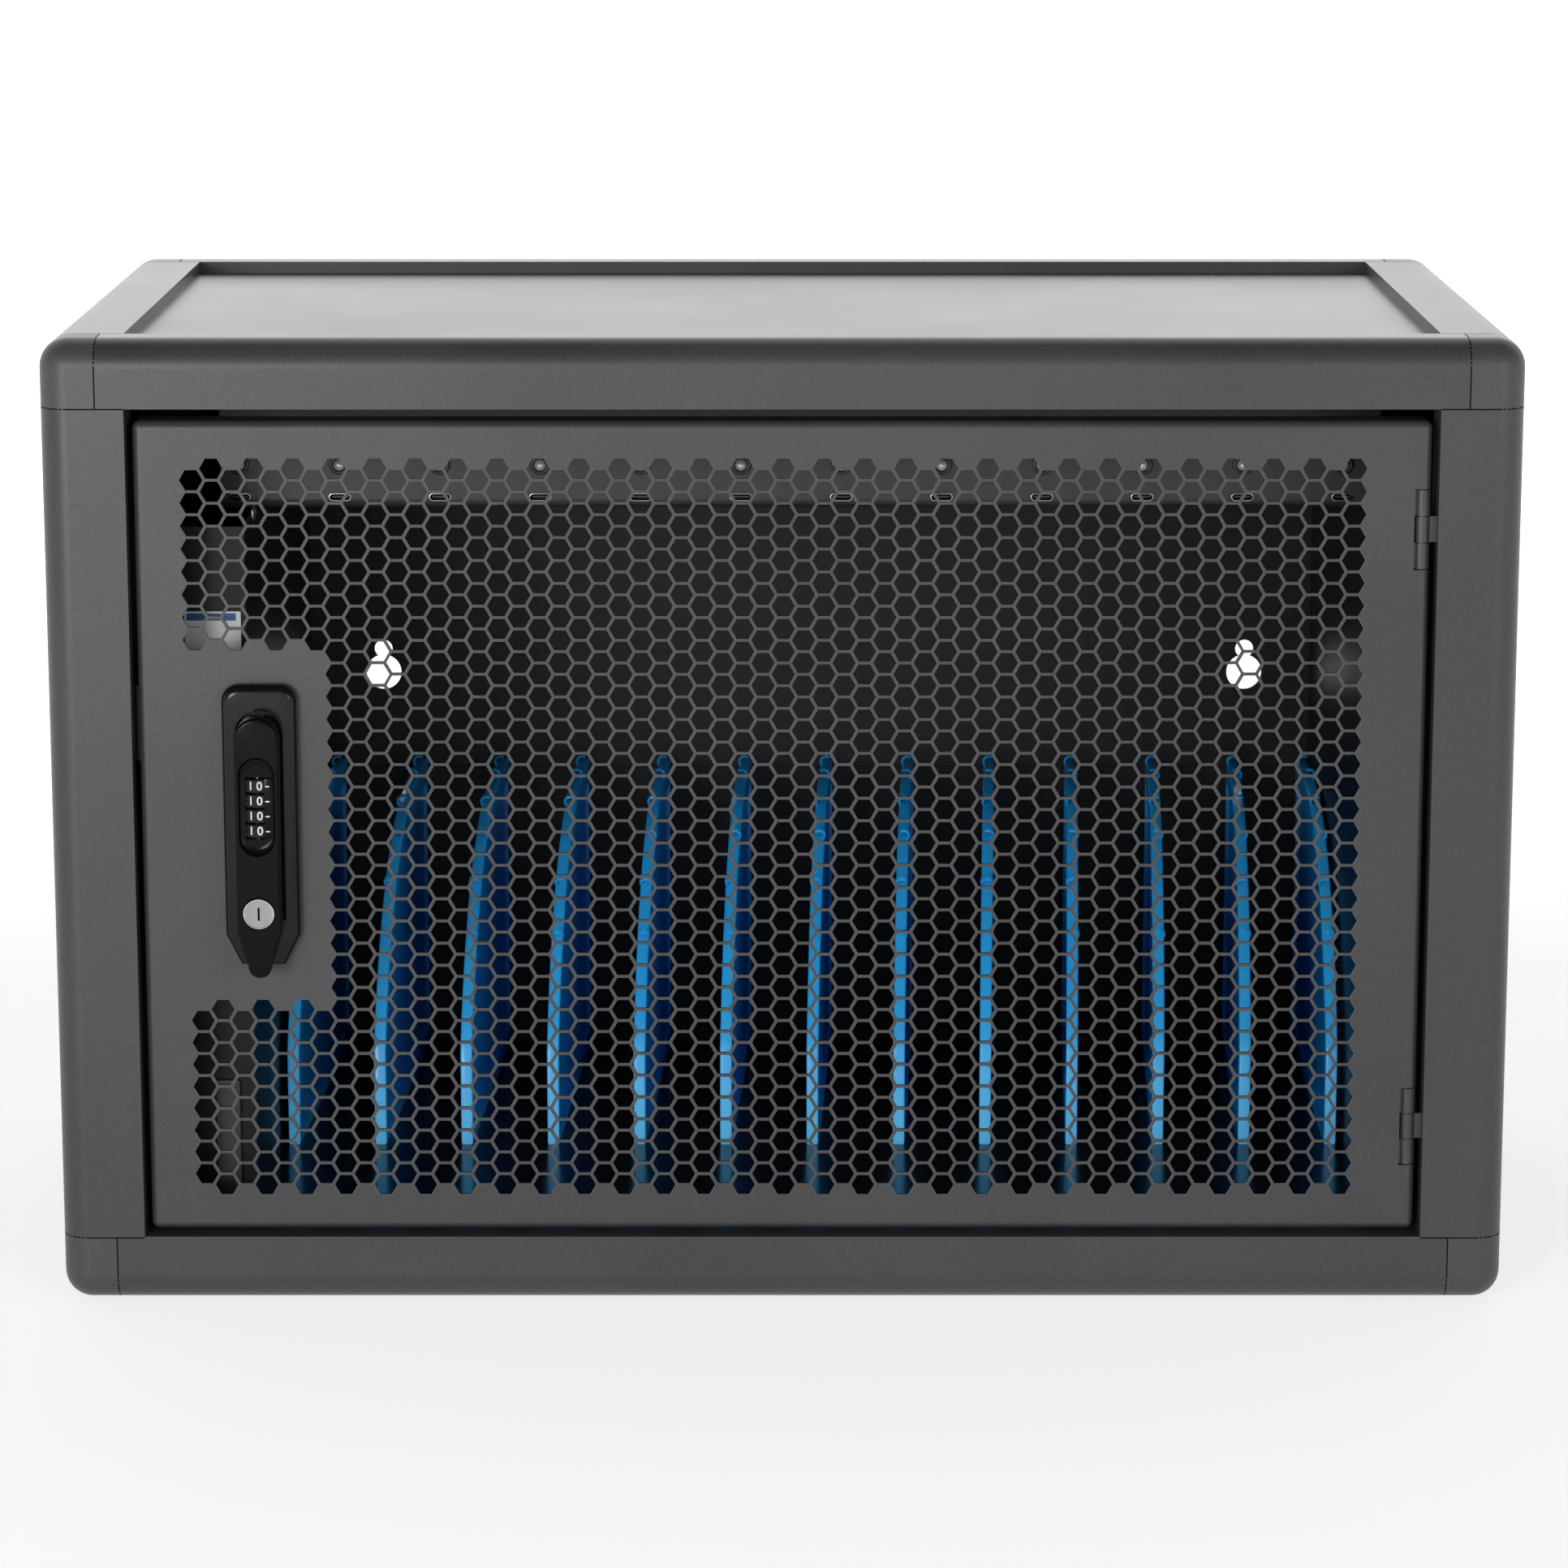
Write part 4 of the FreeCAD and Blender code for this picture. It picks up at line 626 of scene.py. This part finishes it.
def makeLever():
    x, half, face, back = lock["x"], lock["leverHalf"], lock["leverFace"], lock["leverBack"]
    low, level, radius = lock["leverLow"], lock["plugLevel"], lock["plugHole"]
    outline = arc(x, lock["spindle"], half, half, 0, 180, lock["endSteps"])
    outline += [(x - half, low + lock["taper"])]
    outline += arc(x, low + lock["tipRise"], lock["tipHalf"], lock["tipRise"], 180, 360, lock["tipSteps"])
    outline += [(x + half, low + lock["taper"])]
    hole = circle(x, level, radius, lock["holeSteps"])
    mouth = circle(x, level, radius + lock["plugMouth"], lock["holeSteps"])
    scoop, steps = [], lock["scoopSteps"]
    for k in range(steps + 1):
        turn = math.pi / 2 * k / steps
        share = 1 - math.cos(turn)
        halfShort = lock["windowHalf"] + (lock["floorHalf"] - lock["windowHalf"]) * share
        halfLong = lock["windowLong"] + (lock["floorLong"] - lock["windowLong"]) * share
        loop = stadium(x, lock["windowMiddle"], halfLong, halfShort)
        scoop.append((face + lock["windowDeep"] * math.sin(turn), loop))
    floorLevel = face + lock["windowDeep"]

    def room(halfWide):
        return rectangle(x - halfWide, x + halfWide, lock["roomLow"], lock["roomHigh"])

    shell = Shell()
    rings = roundedRings(outline, face, back, lock["leverRound"])
    shell.plate(rings[0][1], [scoop[0][1], mouth], face)
    shell.wall(rings)
    shell.wall(scoop)
    shell.plate(scoop[-1][1], [room(lock["roomMouth"])], floorLevel)
    flareDeep, flareHalf = lock["roomFlare"]
    shell.wall([(floorLevel, room(lock["roomMouth"])), (floorLevel + flareDeep, room(flareHalf)),
                (floorLevel + lock["roomLip"], room(lock["roomHalf"])), (back, room(lock["roomHalf"]))])
    shell.wall([(face, mouth), (face + lock["plugMouth"], hole), (back, hole)])
    shell.plate(outline, [room(lock["roomHalf"]), hole], back)
    mesh = shell.mesh("swingLever")
    lever = addPiece("swingLever", mesh, "leverBlack", "swing_lever", ["lever"])
    cutAway(lever, (x - lock["slotHalf"], lock["slotFront"], lock["slotLow"]),
            (x + lock["slotHalf"], back + lock["slotReach"], lock["spindle"] + half + lock["slotReach"]))


def makeTicks():
    # a slim plate covers the wheels on the right and carries one white dash for each
    x, face, margin = lock["x"], tick["face"], tick["margin"]
    strip = rectangle(x + tick["left"], x + tick["right"], lock["roomLow"] + margin,
                      lock["roomHigh"] - margin)
    shell = Shell()
    shell.block(strip, face, tick["back"], tick["edge"], tick["edgeSteps"])
    addPiece("tickPlate", shell.mesh("tickPlate"), "leverBlack", "swing_lever")
    dashes = Shell()
    middle = x + (tick["left"] + tick["right"]) / 2 - tick["dashShift"]
    for level in wheel["levels"]:
        dash = lying(middle, level, tick["dashLong"], tick["dashShort"], tick["dashSteps"])
        dashes.block(dash, face - tick["dashProud"], face + tick["dashDeep"])
    addPiece("tickDashes", dashes.mesh("tickDashes"), "digitWhite", "swing_lever")


def makeWheel(number, body, level):
    x, axis, radius = lock["x"], wheel["axis"], wheel["radius"]
    start = 90 + 180 / wheel["sides"] + wheel["turned"]
    rim = arc(x, axis, radius, radius, start, start + 360, wheel["sides"])[:-1]
    bore = circle(x, axis, wheel["bore"], wheel["boreSteps"])
    slim = inset(rim, wheel["edge"])
    low, high = level - wheel["thick"] / 2, level + wheel["thick"] / 2
    shell = Shell("z")
    shell.plate(slim, [bore], low)
    shell.wall([(low, slim), (low + wheel["edge"], rim), (high - wheel["edge"], rim), (high, slim)])
    shell.plate(slim, [bore], high)
    shell.wall([(low, bore), (high, bore)])
    name = f"numberWheel{number}"
    addPiece(name, shell.mesh(name, wheel["crease"]), "dialBlack", body, [f"dial_{number}"])


def makeDigits(number, body, level):
    # one printed digit on each flat of a wheel
    digits = bmesh.new()
    middle = Vector((lock["x"], wheel["axis"], level))
    flat = wheel["radius"] * math.cos(math.pi / wheel["sides"])
    for digit in range(wheel["sides"]):
        font = bpy.data.curves.new("digit", "FONT")
        font.body = str(digit)
        font.size = wheel["digitSize"] * mm
        font.extrude = wheel["digitProud"] * mm
        font.offset = wheel["digitBold"] * mm
        font.align_x, font.align_y = "CENTER", "CENTER"
        holder = bpy.data.objects.new("digit", font)
        scene.collection.objects.link(holder)
        bpy.context.view_layer.update()
        figure = bpy.data.meshes.new_from_object(holder.evaluated_get(bpy.context.evaluated_depsgraph_get()))
        turn = 2 * math.pi * digit / wheel["sides"] - math.radians(wheel["turned"])
        outward = Vector((-math.sin(turn), -math.cos(turn), 0))
        along = Vector((math.cos(turn), -math.sin(turn), 0))
        place = Matrix((along, (0, 0, 1), outward)).transposed().to_4x4()
        place.translation = (middle + outward * flat) * mm
        figure.transform(place)
        digits.from_mesh(figure)
        bpy.data.objects.remove(holder)
        bpy.data.meshes.remove(figure)
    name = f"wheelDigits{number}"
    mesh = bpy.data.meshes.new(name)
    digits.to_mesh(mesh)
    digits.free()
    addPiece(name, mesh, "digitWhite", body)


def makeKeyPlug():
    x, z, radius, face = lock["x"], lock["plugLevel"], plug["radius"], plug["face"]
    sunk, inner = face + plug["sunk"], radius - plug["rim"]
    slot = rectangle(x - plug["slotHalf"], x + plug["slotHalf"], z - plug["slotTall"], z + plug["slotTall"])
    dishDeep, dishWide = plug["dish"]

    def ring(reach):
        return circle(x, z, reach, plug["sides"])

    shell = Shell()
    shell.plate(ring(inner), [slot], sunk)
    # the keyway slot is black inside: painted shade
    shell.wall([(sunk, slot), (sunk + plug["slotDeep"], slot)], kind=1)
    shell.plate(slot, [], sunk + plug["slotDeep"], kind=1)
    # the dish, lip and rim take the paler steel, a painted highlight
    shell.wall([(sunk, ring(inner)), (face + dishDeep, ring(inner + dishWide)),
                (face, ring(inner + plug["lip"])), (face, ring(radius - plug["edge"])),
                (face + plug["edge"], ring(radius)), (plug["rear"], ring(radius))], kind=2)
    shell.plate(ring(radius), [], plug["rear"])
    mesh = shell.mesh("keyPlug")
    addPiece("keyPlug", mesh, ["plugSatin", "bezelBlack", "plugRimPaintedHighlight"], "key", ["key_plug"])


makeHousing()
makeLever()
makeTicks()
for number, (body, level) in enumerate(zip(wheel["bodies"], wheel["levels"]), 1):
    makeWheel(number, body, level)
    makeDigits(number, body, level)
makeKeyPlug()
print("lock made")


# Shelf front: domed lamps in their bezels, and a row of sockets

lamps = dict(count=12, first=-216.5, pitch=40, level=325, base=-66.8, middle=-68.8, radius=2.5,
             domeAngles=(6, 15, 25, 35, 45, 55, 65, 75, 83, 90), bezelFace=-69.8, bezelBack=-68.3,
             bezelSteps=28,
             bezelProfile=((0.4, 2.6), (0.1, 2.75), (0, 3.0), (0, 3.4), (0.15, 3.8), (0.45, 4)))


def makeLamps():
    places = [(lamps["first"] + lamps["pitch"] * k, 0, lamps["level"]) for k in range(lamps["count"])]
    profile = []
    for angle in lamps["domeAngles"]:
        turn = math.radians(angle)
        profile.append((lamps["radius"] * math.sin(turn), lamps["middle"] - lamps["radius"] * math.cos(turn)))
    points, faces = lathe(profile + [(lamps["radius"], lamps["base"])], places)
    mesh = meshFrom("lampDomes", points, faces)
    addPiece("lampDomes", mesh, "lampGlass", "cabinet", ["led_lenses"])
    back, steps = lamps["bezelBack"], lamps["bezelSteps"]
    rings = [(lamps["bezelFace"] + sunk, radius) for sunk, radius in lamps["bezelProfile"]]
    bore, outer = rings[0][1], rings[-1][1]
    rings = [(back, bore)] + rings + [(back, outer)]
    shell = Shell()
    for x, _, z in places:
        shell.wall([(level, circle(x, z, radius, steps)) for level, radius in rings])
        shell.plate(circle(x, z, outer, steps), [circle(x, z, bore, steps)], back)
    addPiece("lampBezels", shell.mesh("lampBezels"), "bezelBlack", "cabinet", ["led_bezels"])


sockets = dict(count=12, first=-216.5, pitch=40, level=312, mouth=-68.8, rear=-61.3, floor=-62.5,
               halfLong=4.47, halfShort=1.6, skin=0.36, edge=0.1, edgeSteps=2, endSteps=10,
               tongueHalf=3.2, tongueThick=0.35, tongueFace=-67.4)


def makeSockets():
    mouth, floor, tongueFace = sockets["mouth"], sockets["floor"], sockets["tongueFace"]
    long, short, steps = sockets["halfLong"], sockets["halfShort"], sockets["endSteps"]
    shell = Shell()
    for k in range(sockets["count"]):
        x, z = sockets["first"] + sockets["pitch"] * k, sockets["level"]
        outer, inner = [lying(x, z, long - skin, short - skin, steps) for skin in (0, sockets["skin"])]
        tongue = rectangle(x - sockets["tongueHalf"], x + sockets["tongueHalf"], z - sockets["tongueThick"],
                           z + sockets["tongueThick"])
        shell.block(outer, mouth, sockets["rear"], sockets["edge"], sockets["edgeSteps"], [inner])
        # the sockets' insides are black: the tongue and floor as black moulding, the inner shell wall as
        # painted shade
        shell.wall([(mouth, inner), (floor, inner)], kind=1)
        shell.plate(inner, [tongue], floor, kind=1)
        shell.wall([(tongueFace, tongue), (floor, tongue)], kind=1)
        shell.plate(tongue, [], tongueFace, kind=1)
    mesh = shell.mesh("chargingSockets")
    addPiece("chargingSockets", mesh, ["portSteel", "bezelBlack"], "cabinet", ["usb_c_ports"])


makeLamps()
makeSockets()
print("lamps and sockets made")


# Dividers: plates with a thick rim, a little askew, and cable clips along the swept rim

divider = dict(
    count=13, first=-204.7, pitch=36.2, front=-17.3, rear=157.6, floor=30, top=160, shoulder=40, run=135,
    half=2.5, webHalf=1, rim=9, edge=0.9, skew=0.043, lastSkew=0.014, arcSteps=28, edgeSteps=4,
)
divider["rise"] = divider["top"] - divider["floor"] - divider["shoulder"]
divider["bend"] = (divider["run"] ** 2 + divider["rise"] ** 2) / (2 * divider["rise"])
clip = dict(along=(160, 131, 98, 73, 48, 28), ring=2.35, wire=0.72, flat=2.2, lift=1.5, sweep=250, steps=16,
            sides=7, crease=50)


def dividerOutline(depth):
    # the plate seen from the side, drawn in by depth on every edge
    run, bend = divider["run"] - depth, divider["bend"] - depth
    low, top = divider["floor"] + depth, divider["top"] - depth
    sweep = math.degrees(math.asin(run / bend))
    edge = arc(divider["front"] + divider["run"], top - bend, bend, bend, 90, 90 + sweep, divider["arcSteps"])
    rear = divider["rear"] - depth
    return [(divider["front"] + depth, low), (rear, low), (rear, top)] + edge


def dividerShift(column, y):
    skew = divider["lastSkew"] if column == divider["count"] - 1 else divider["skew"]
    return divider["first"] + divider["pitch"] * column + skew * (y - divider["front"])


def makeDividers():
    outline, recess = dividerOutline(0), dividerOutline(divider["rim"])
    half, web = divider["half"], divider["webHalf"]
    rounded = roundedRings(outline, -half, 0, divider["edge"], divider["edgeSteps"])
    rings = rounded + [(-level, loop) for level, loop in rounded[-2::-1]]
    for column in range(divider["count"]):
        shell = Shell("x")
        shell.wall(rings)
        for side in (-1, 1):
            shell.plate(rings[0][1], [recess], side * half)
            shell.wall([(side * half, recess), (side * web, recess)])
            shell.plate(recess, [], side * web)
        shell.points = [(x + dividerShift(column, y), y, z) for x, y, z in shell.points]
        number = f"{column + 1:02d}"
        name = "dividerPlate" + number
        addPiece(name, shell.mesh(name), "dividerBlue", "cabinet", ["divider_" + number])


def rimPlace(along):
    # a place on the rim at a distance behind the front, and the way the rim faces there
    lean = math.asin(max(0, divider["run"] - along) / divider["bend"])
    drop = divider["bend"] * (1 - math.cos(lean))
    return divider["front"] + along, divider["top"] - drop, math.pi / 2 + lean


def makeClips():
    points, faces = [], []
    sides, opening = clip["sides"], (360 - clip["sweep"]) / 2
    for column in range(divider["count"]):
        for order, along in enumerate(clip["along"]):
            y, z, turn = rimPlace(along)
            outward = Vector((0, math.cos(turn), math.sin(turn)))
            across = Vector((1 if order % 2 == 0 else -1, 0, 0))
            tangent = Vector((1, 0, 0)).cross(outward)
            middle = Vector((dividerShift(column, y), y, z)) + outward * clip["lift"]
            faces += ringFaces(len(points), clip["steps"] + 1, sides)
            for k in range(clip["steps"] + 1):
                sweep = math.radians(opening + clip["sweep"] * k / clip["steps"])
                spoke = across * math.cos(sweep) + outward * math.sin(sweep)
                for s in range(sides):
                    roll = 2 * math.pi * s / sides
                    reach = spoke * (clip["ring"] + clip["wire"] * math.cos(roll))
                    width = tangent * clip["wire"] * clip["flat"] * math.sin(roll)
                    points.append(tuple(middle + reach + width))
    mesh = meshFrom("cableClips", points, faces, angle=clip["crease"])
    addPiece("cableClips", mesh, "dividerBlue", "cabinet")


makeDividers()
makeClips()
print("dividers and clips made")


# Frame seams: the fine shadow line where a corner meets a rail or a post

seam = dict(half=0.28, proud=0.03, sunk=0.4, side=285, front=-146.3, middle=8.7, low=1.5, high=384,
            turn=11, steps=8, corner=263, postInner=252, sideLap=2, depth=22, head=357.5)


def seamPaths(grow):
    # the outer line of a rail, a side rail and a post, moved outwards by grow
    turn, side, front, high, steps = seam["turn"], seam["side"], seam["front"], seam["high"], seam["steps"]
    reach = turn + grow
    rail = [(front - grow, seam["head"])] + arc(front + turn, high - turn, -reach, reach, 0, 90, steps)
    rail += [(front + seam["depth"], high + grow)]
    sideRail = [(side + grow, seam["head"])] + arc(side - turn, high - turn, reach, reach, 0, 90, steps)
    sideRail += [(seam["postInner"] + seam["sideLap"], high + grow)]
    post = [(seam["postInner"], front - grow)] + arc(side - turn, front + turn, reach, -reach, 90, 0, steps)
    post += [(side + grow, front + seam["depth"])]
    return rail, sideRail, post


def makeSeams():
    points, faces = [], []
    half, joint = seam["half"], seam["front"] + seam["depth"]

    def band(outer, inner, place):
        faces.extend(ringFaces(len(points), len(outer), 4))
        for near, far in zip(outer, inner):
            corners = ((near, -half), (near, half), (far, half), (far, -half))
            points.extend(place(*flat, shift) for flat, shift in corners)

    railPair, sidePair, postPair = zip(seamPaths(seam["proud"]), seamPaths(-seam["sunk"]))
    for left in (1, -1):
        for rear in (1, -1):
            for upper in (1, -1):
                def mirror(x, y, z):
                    deep = y if rear == 1 else 2 * seam["middle"] - y
                    return left * x, deep, z if upper == 1 else seam["high"] + seam["low"] - z

                band(*railPair, lambda y, z, shift: mirror(seam["corner"] + shift, y, z))
                band(*sidePair, lambda x, z, shift: mirror(x, joint + shift, z))
                band(*postPair, lambda x, y, shift: mirror(x, y, seam["head"] + shift))
    addPiece("frameSeams", meshFrom("frameSeams", points, faces), "seamShadow", "cabinet")


makeSeams()


# Small things: screws, a bare label and a small grey plate inside on the left

screws = {
    "rearScrews": dict(
        axis="y", places=[(-244, 160.7, 38), (-244, 160.7, 268), (-244, 160.7, 348), (0, 160.7, 350),
                          (0, 160.7, 36), (244, 160.7, 38), (244, 160.7, 268), (244, 160.7, 348)],
        profile=[(0.2, 1.0), (0.9, 1.0), (1.0, 1.62), (1.6, 1.68), (2.5, 1.45), (3.2, 0.95), (3.55, 0.35),
                 (3.6, 0)]),
    "liningScrews": dict(
        axis="x", places=[(-210, -82, 308), (-210, 120, 301)],
        profile=[(0.2, 0.7), (0.8, 0.7), (0.9, 1.2), (1.8, 1.3), (3.0, 0.9), (3.6, 0.3), (3.7, 0)]),
}
label = dict(left=-234, right=-212, low=258, band=270.4, high=274, margin=0.7, trim=1.2,
             face=-116.42, back=-116.3, layer=0.03)
# a small grey plate low on the left flange, paler than the black round it
greyPlate = dict(left=-226, right=-216, low=35, high=85, face=-118.3, back=-116.3, turn=1.2, edge=0.6, steps=4)


def makeScrews():
    for name, screw in screws.items():
        points, faces = lathe(screw["profile"], screw["places"], screw["axis"])
        addPiece(name, meshFrom(name, points, faces), "platedSteel", "cabinet")


def makeLabel():
    left, right, high, margin = label["left"], label["right"], label["high"], label["margin"]
    white = rectangle(left, right, label["low"], high)
    blue = rectangle(left + margin, right - margin - label["trim"], label["band"], high - margin)
    shell = Shell()
    for kind, loop in enumerate((white, blue)):
        shell.block(loop, label["face"] - label["layer"] * kind, label["back"], kind=kind)
    mesh = shell.mesh("bareLabel")
    addPiece("bareLabel", mesh, ["stickerWhite", "stickerBlue"], "cabinet")


def makeSpacer():
    sides = [greyPlate[name] for name in ("left", "right", "low", "high", "turn", "steps")]
    shell = Shell()
    shell.block(roundedRectangle(*sides), greyPlate["face"], greyPlate["back"], greyPlate["edge"], greyPlate["steps"])
    addPiece("flangeGreyPlate", shell.mesh("flangeGreyPlate"), "shelfGrey", "cabinet")


makeScrews()
makeLabel()
makeSpacer()
print("seams and small things made")


# Floor, backdrop, lights and camera

stageSetup = dict(half=9.0, wall=3.4, bend=0.9, bendSteps=16, paper=0.80, seenPaper=0.60, fade=(0.55, 1.3),
                  glow=(0.69, 1.0))


def paperMaterial():
    # paper that glows towards the eye, more so away from the part, and lights the part as plain paper
    material = bpy.data.materials.new("studioPaper")
    material.use_nodes = True
    tree = material.node_tree
    link = tree.links.new
    tree.nodes.remove(tree.nodes["Principled BSDF"])
    path = shaderNode(tree, "ShaderNodeLightPath")
    seen = mathNode(tree, "MAXIMUM", path.outputs["Is Camera Ray"], path.outputs["Is Glossy Ray"])
    seen = mathNode(tree, "MAXIMUM", seen, path.outputs["Is Transmission Ray"])
    place = shaderNode(tree, "ShaderNodeNewGeometry")
    away = shaderNode(tree, "ShaderNodeVectorMath", operation="LENGTH")
    link(place.outputs["Position"], away.inputs[0])
    glow = shaderNode(tree, "ShaderNodeEmission")
    strength = mapRange(tree, away.outputs["Value"], stageSetup["fade"], stageSetup["glow"])
    link(strength, glow.inputs["Strength"])
    papers = {}
    for name in ("paper", "seenPaper"):
        papers[name] = shaderNode(tree, "ShaderNodeBsdfDiffuse")
        papers[name].inputs["Color"].default_value = (*[stageSetup[name]] * 3, 1)
    lit = shaderNode(tree, "ShaderNodeAddShader")
    link(glow.outputs["Emission"], lit.inputs[0])
    link(papers["seenPaper"].outputs["BSDF"], lit.inputs[1])
    choose = shaderNode(tree, "ShaderNodeMixShader")
    link(seen, choose.inputs["Fac"])
    link(papers["paper"].outputs["BSDF"], choose.inputs[1])
    link(lit.outputs["Shader"], choose.inputs[2])
    link(choose.outputs["Shader"], tree.nodes["Material Output"].inputs["Surface"])
    return material


def makeStage():
    half, wall, bend = stageSetup["half"], stageSetup["wall"], stageSetup["bend"]
    curve = arc(wall - bend, bend, bend, bend, -90, 0, stageSetup["bendSteps"])
    profile = [(-half, 0)] + curve + [(wall, half)]
    points = [(x, y, z) for y, z in profile for x in (-half, half)]
    faces = [[2 * k, 2 * k + 1, 2 * k + 3, 2 * k + 2] for k in range(len(profile) - 1)]
    mesh = bpy.data.meshes.new("studioSweep")
    mesh.from_pydata(points, [], faces)
    mesh.shade_smooth()
    mesh.materials.append(paperMaterial())
    sweep = bpy.data.objects.new("studioSweep", mesh)
    scene.collection.objects.link(sweep)


# white near the horizon, dim overhead, so the rounded rails turn dark towards the top
skySetup = dict(strength=1.0, stops=((0.0, 0.47), (0.46, 1.0), (0.58, 1.0), (0.78, 0.17), (1.0, 0.08)))


def makeSky():
    world = bpy.data.worlds.new("studio")
    world.use_nodes = True
    tree = world.node_tree
    place = shaderNode(tree, "ShaderNodeTexCoord")
    split = shaderNode(tree, "ShaderNodeSeparateXYZ")
    tree.links.new(place.outputs["Generated"], split.inputs["Vector"])
    tone = shaderNode(tree, "ShaderNodeValToRGB")
    stops = tone.color_ramp.elements
    while len(stops) < len(skySetup["stops"]):
        stops.new(0.5)
    for stop, (level, grey) in zip(stops, skySetup["stops"]):
        stop.position = level
        stop.color = (grey, grey, grey, 1)
    tree.links.new(mapRange(tree, split.outputs["Z"], (-1, 1), (0, 1)), tone.inputs["Fac"])
    background = tree.nodes["Background"]
    tree.links.new(tone.outputs["Color"], background.inputs["Color"])
    background.inputs["Strength"].default_value = skySetup["strength"]
    scene.world = world


makeStage()
makeSky()

lampSetup = {
    "keySoftbox": dict(place=(-1.05, -2.6, 0.52), aim=(0, 0, 0.2), size=(0.8, 0.8), power=28),
    "fillSoftbox": dict(place=(1.5, -2.6, 0.75), aim=(0, 0, 0.2), size=(0.8, 0.8), power=11),
    "rearSoftbox": dict(place=(0, 2.4, 1.15), aim=(0, 0, 0.38), size=(2.6, 1.3), power=13),
}
for name, setup in lampSetup.items():
    light = bpy.data.lights.new(name, "AREA")
    light.shape = "RECTANGLE"
    light.size, light.size_y = setup["size"]
    light.energy = setup["power"]
    lamp = bpy.data.objects.new(name, light)
    lamp.location = setup["place"]
    lamp.rotation_euler = (Vector(setup["aim"]) - Vector(setup["place"])).to_track_quat("-Z", "Y").to_euler()
    lamp.visible_camera = False
    scene.collection.objects.link(lamp)

cameraSetup = dict(place=(0.65, -2102.9, 617.9), tilt=11.74, focal=6345.1, imageWidth=1932, sensor=36,
                   clip=(0.05, 50))
lens = bpy.data.cameras.new("photoCamera")
lens.sensor_width = cameraSetup["sensor"]
lens.lens = cameraSetup["focal"] / cameraSetup["imageWidth"] * cameraSetup["sensor"]
lens.clip_start, lens.clip_end = cameraSetup["clip"]
camera = bpy.data.objects.new("photoCamera", lens)
camera.location = Vector(cameraSetup["place"]) * mm
camera.rotation_euler = (math.radians(90 - cameraSetup["tilt"]), 0, 0)
scene.collection.objects.link(camera)
scene.camera = camera
print("stage, lights and camera set")
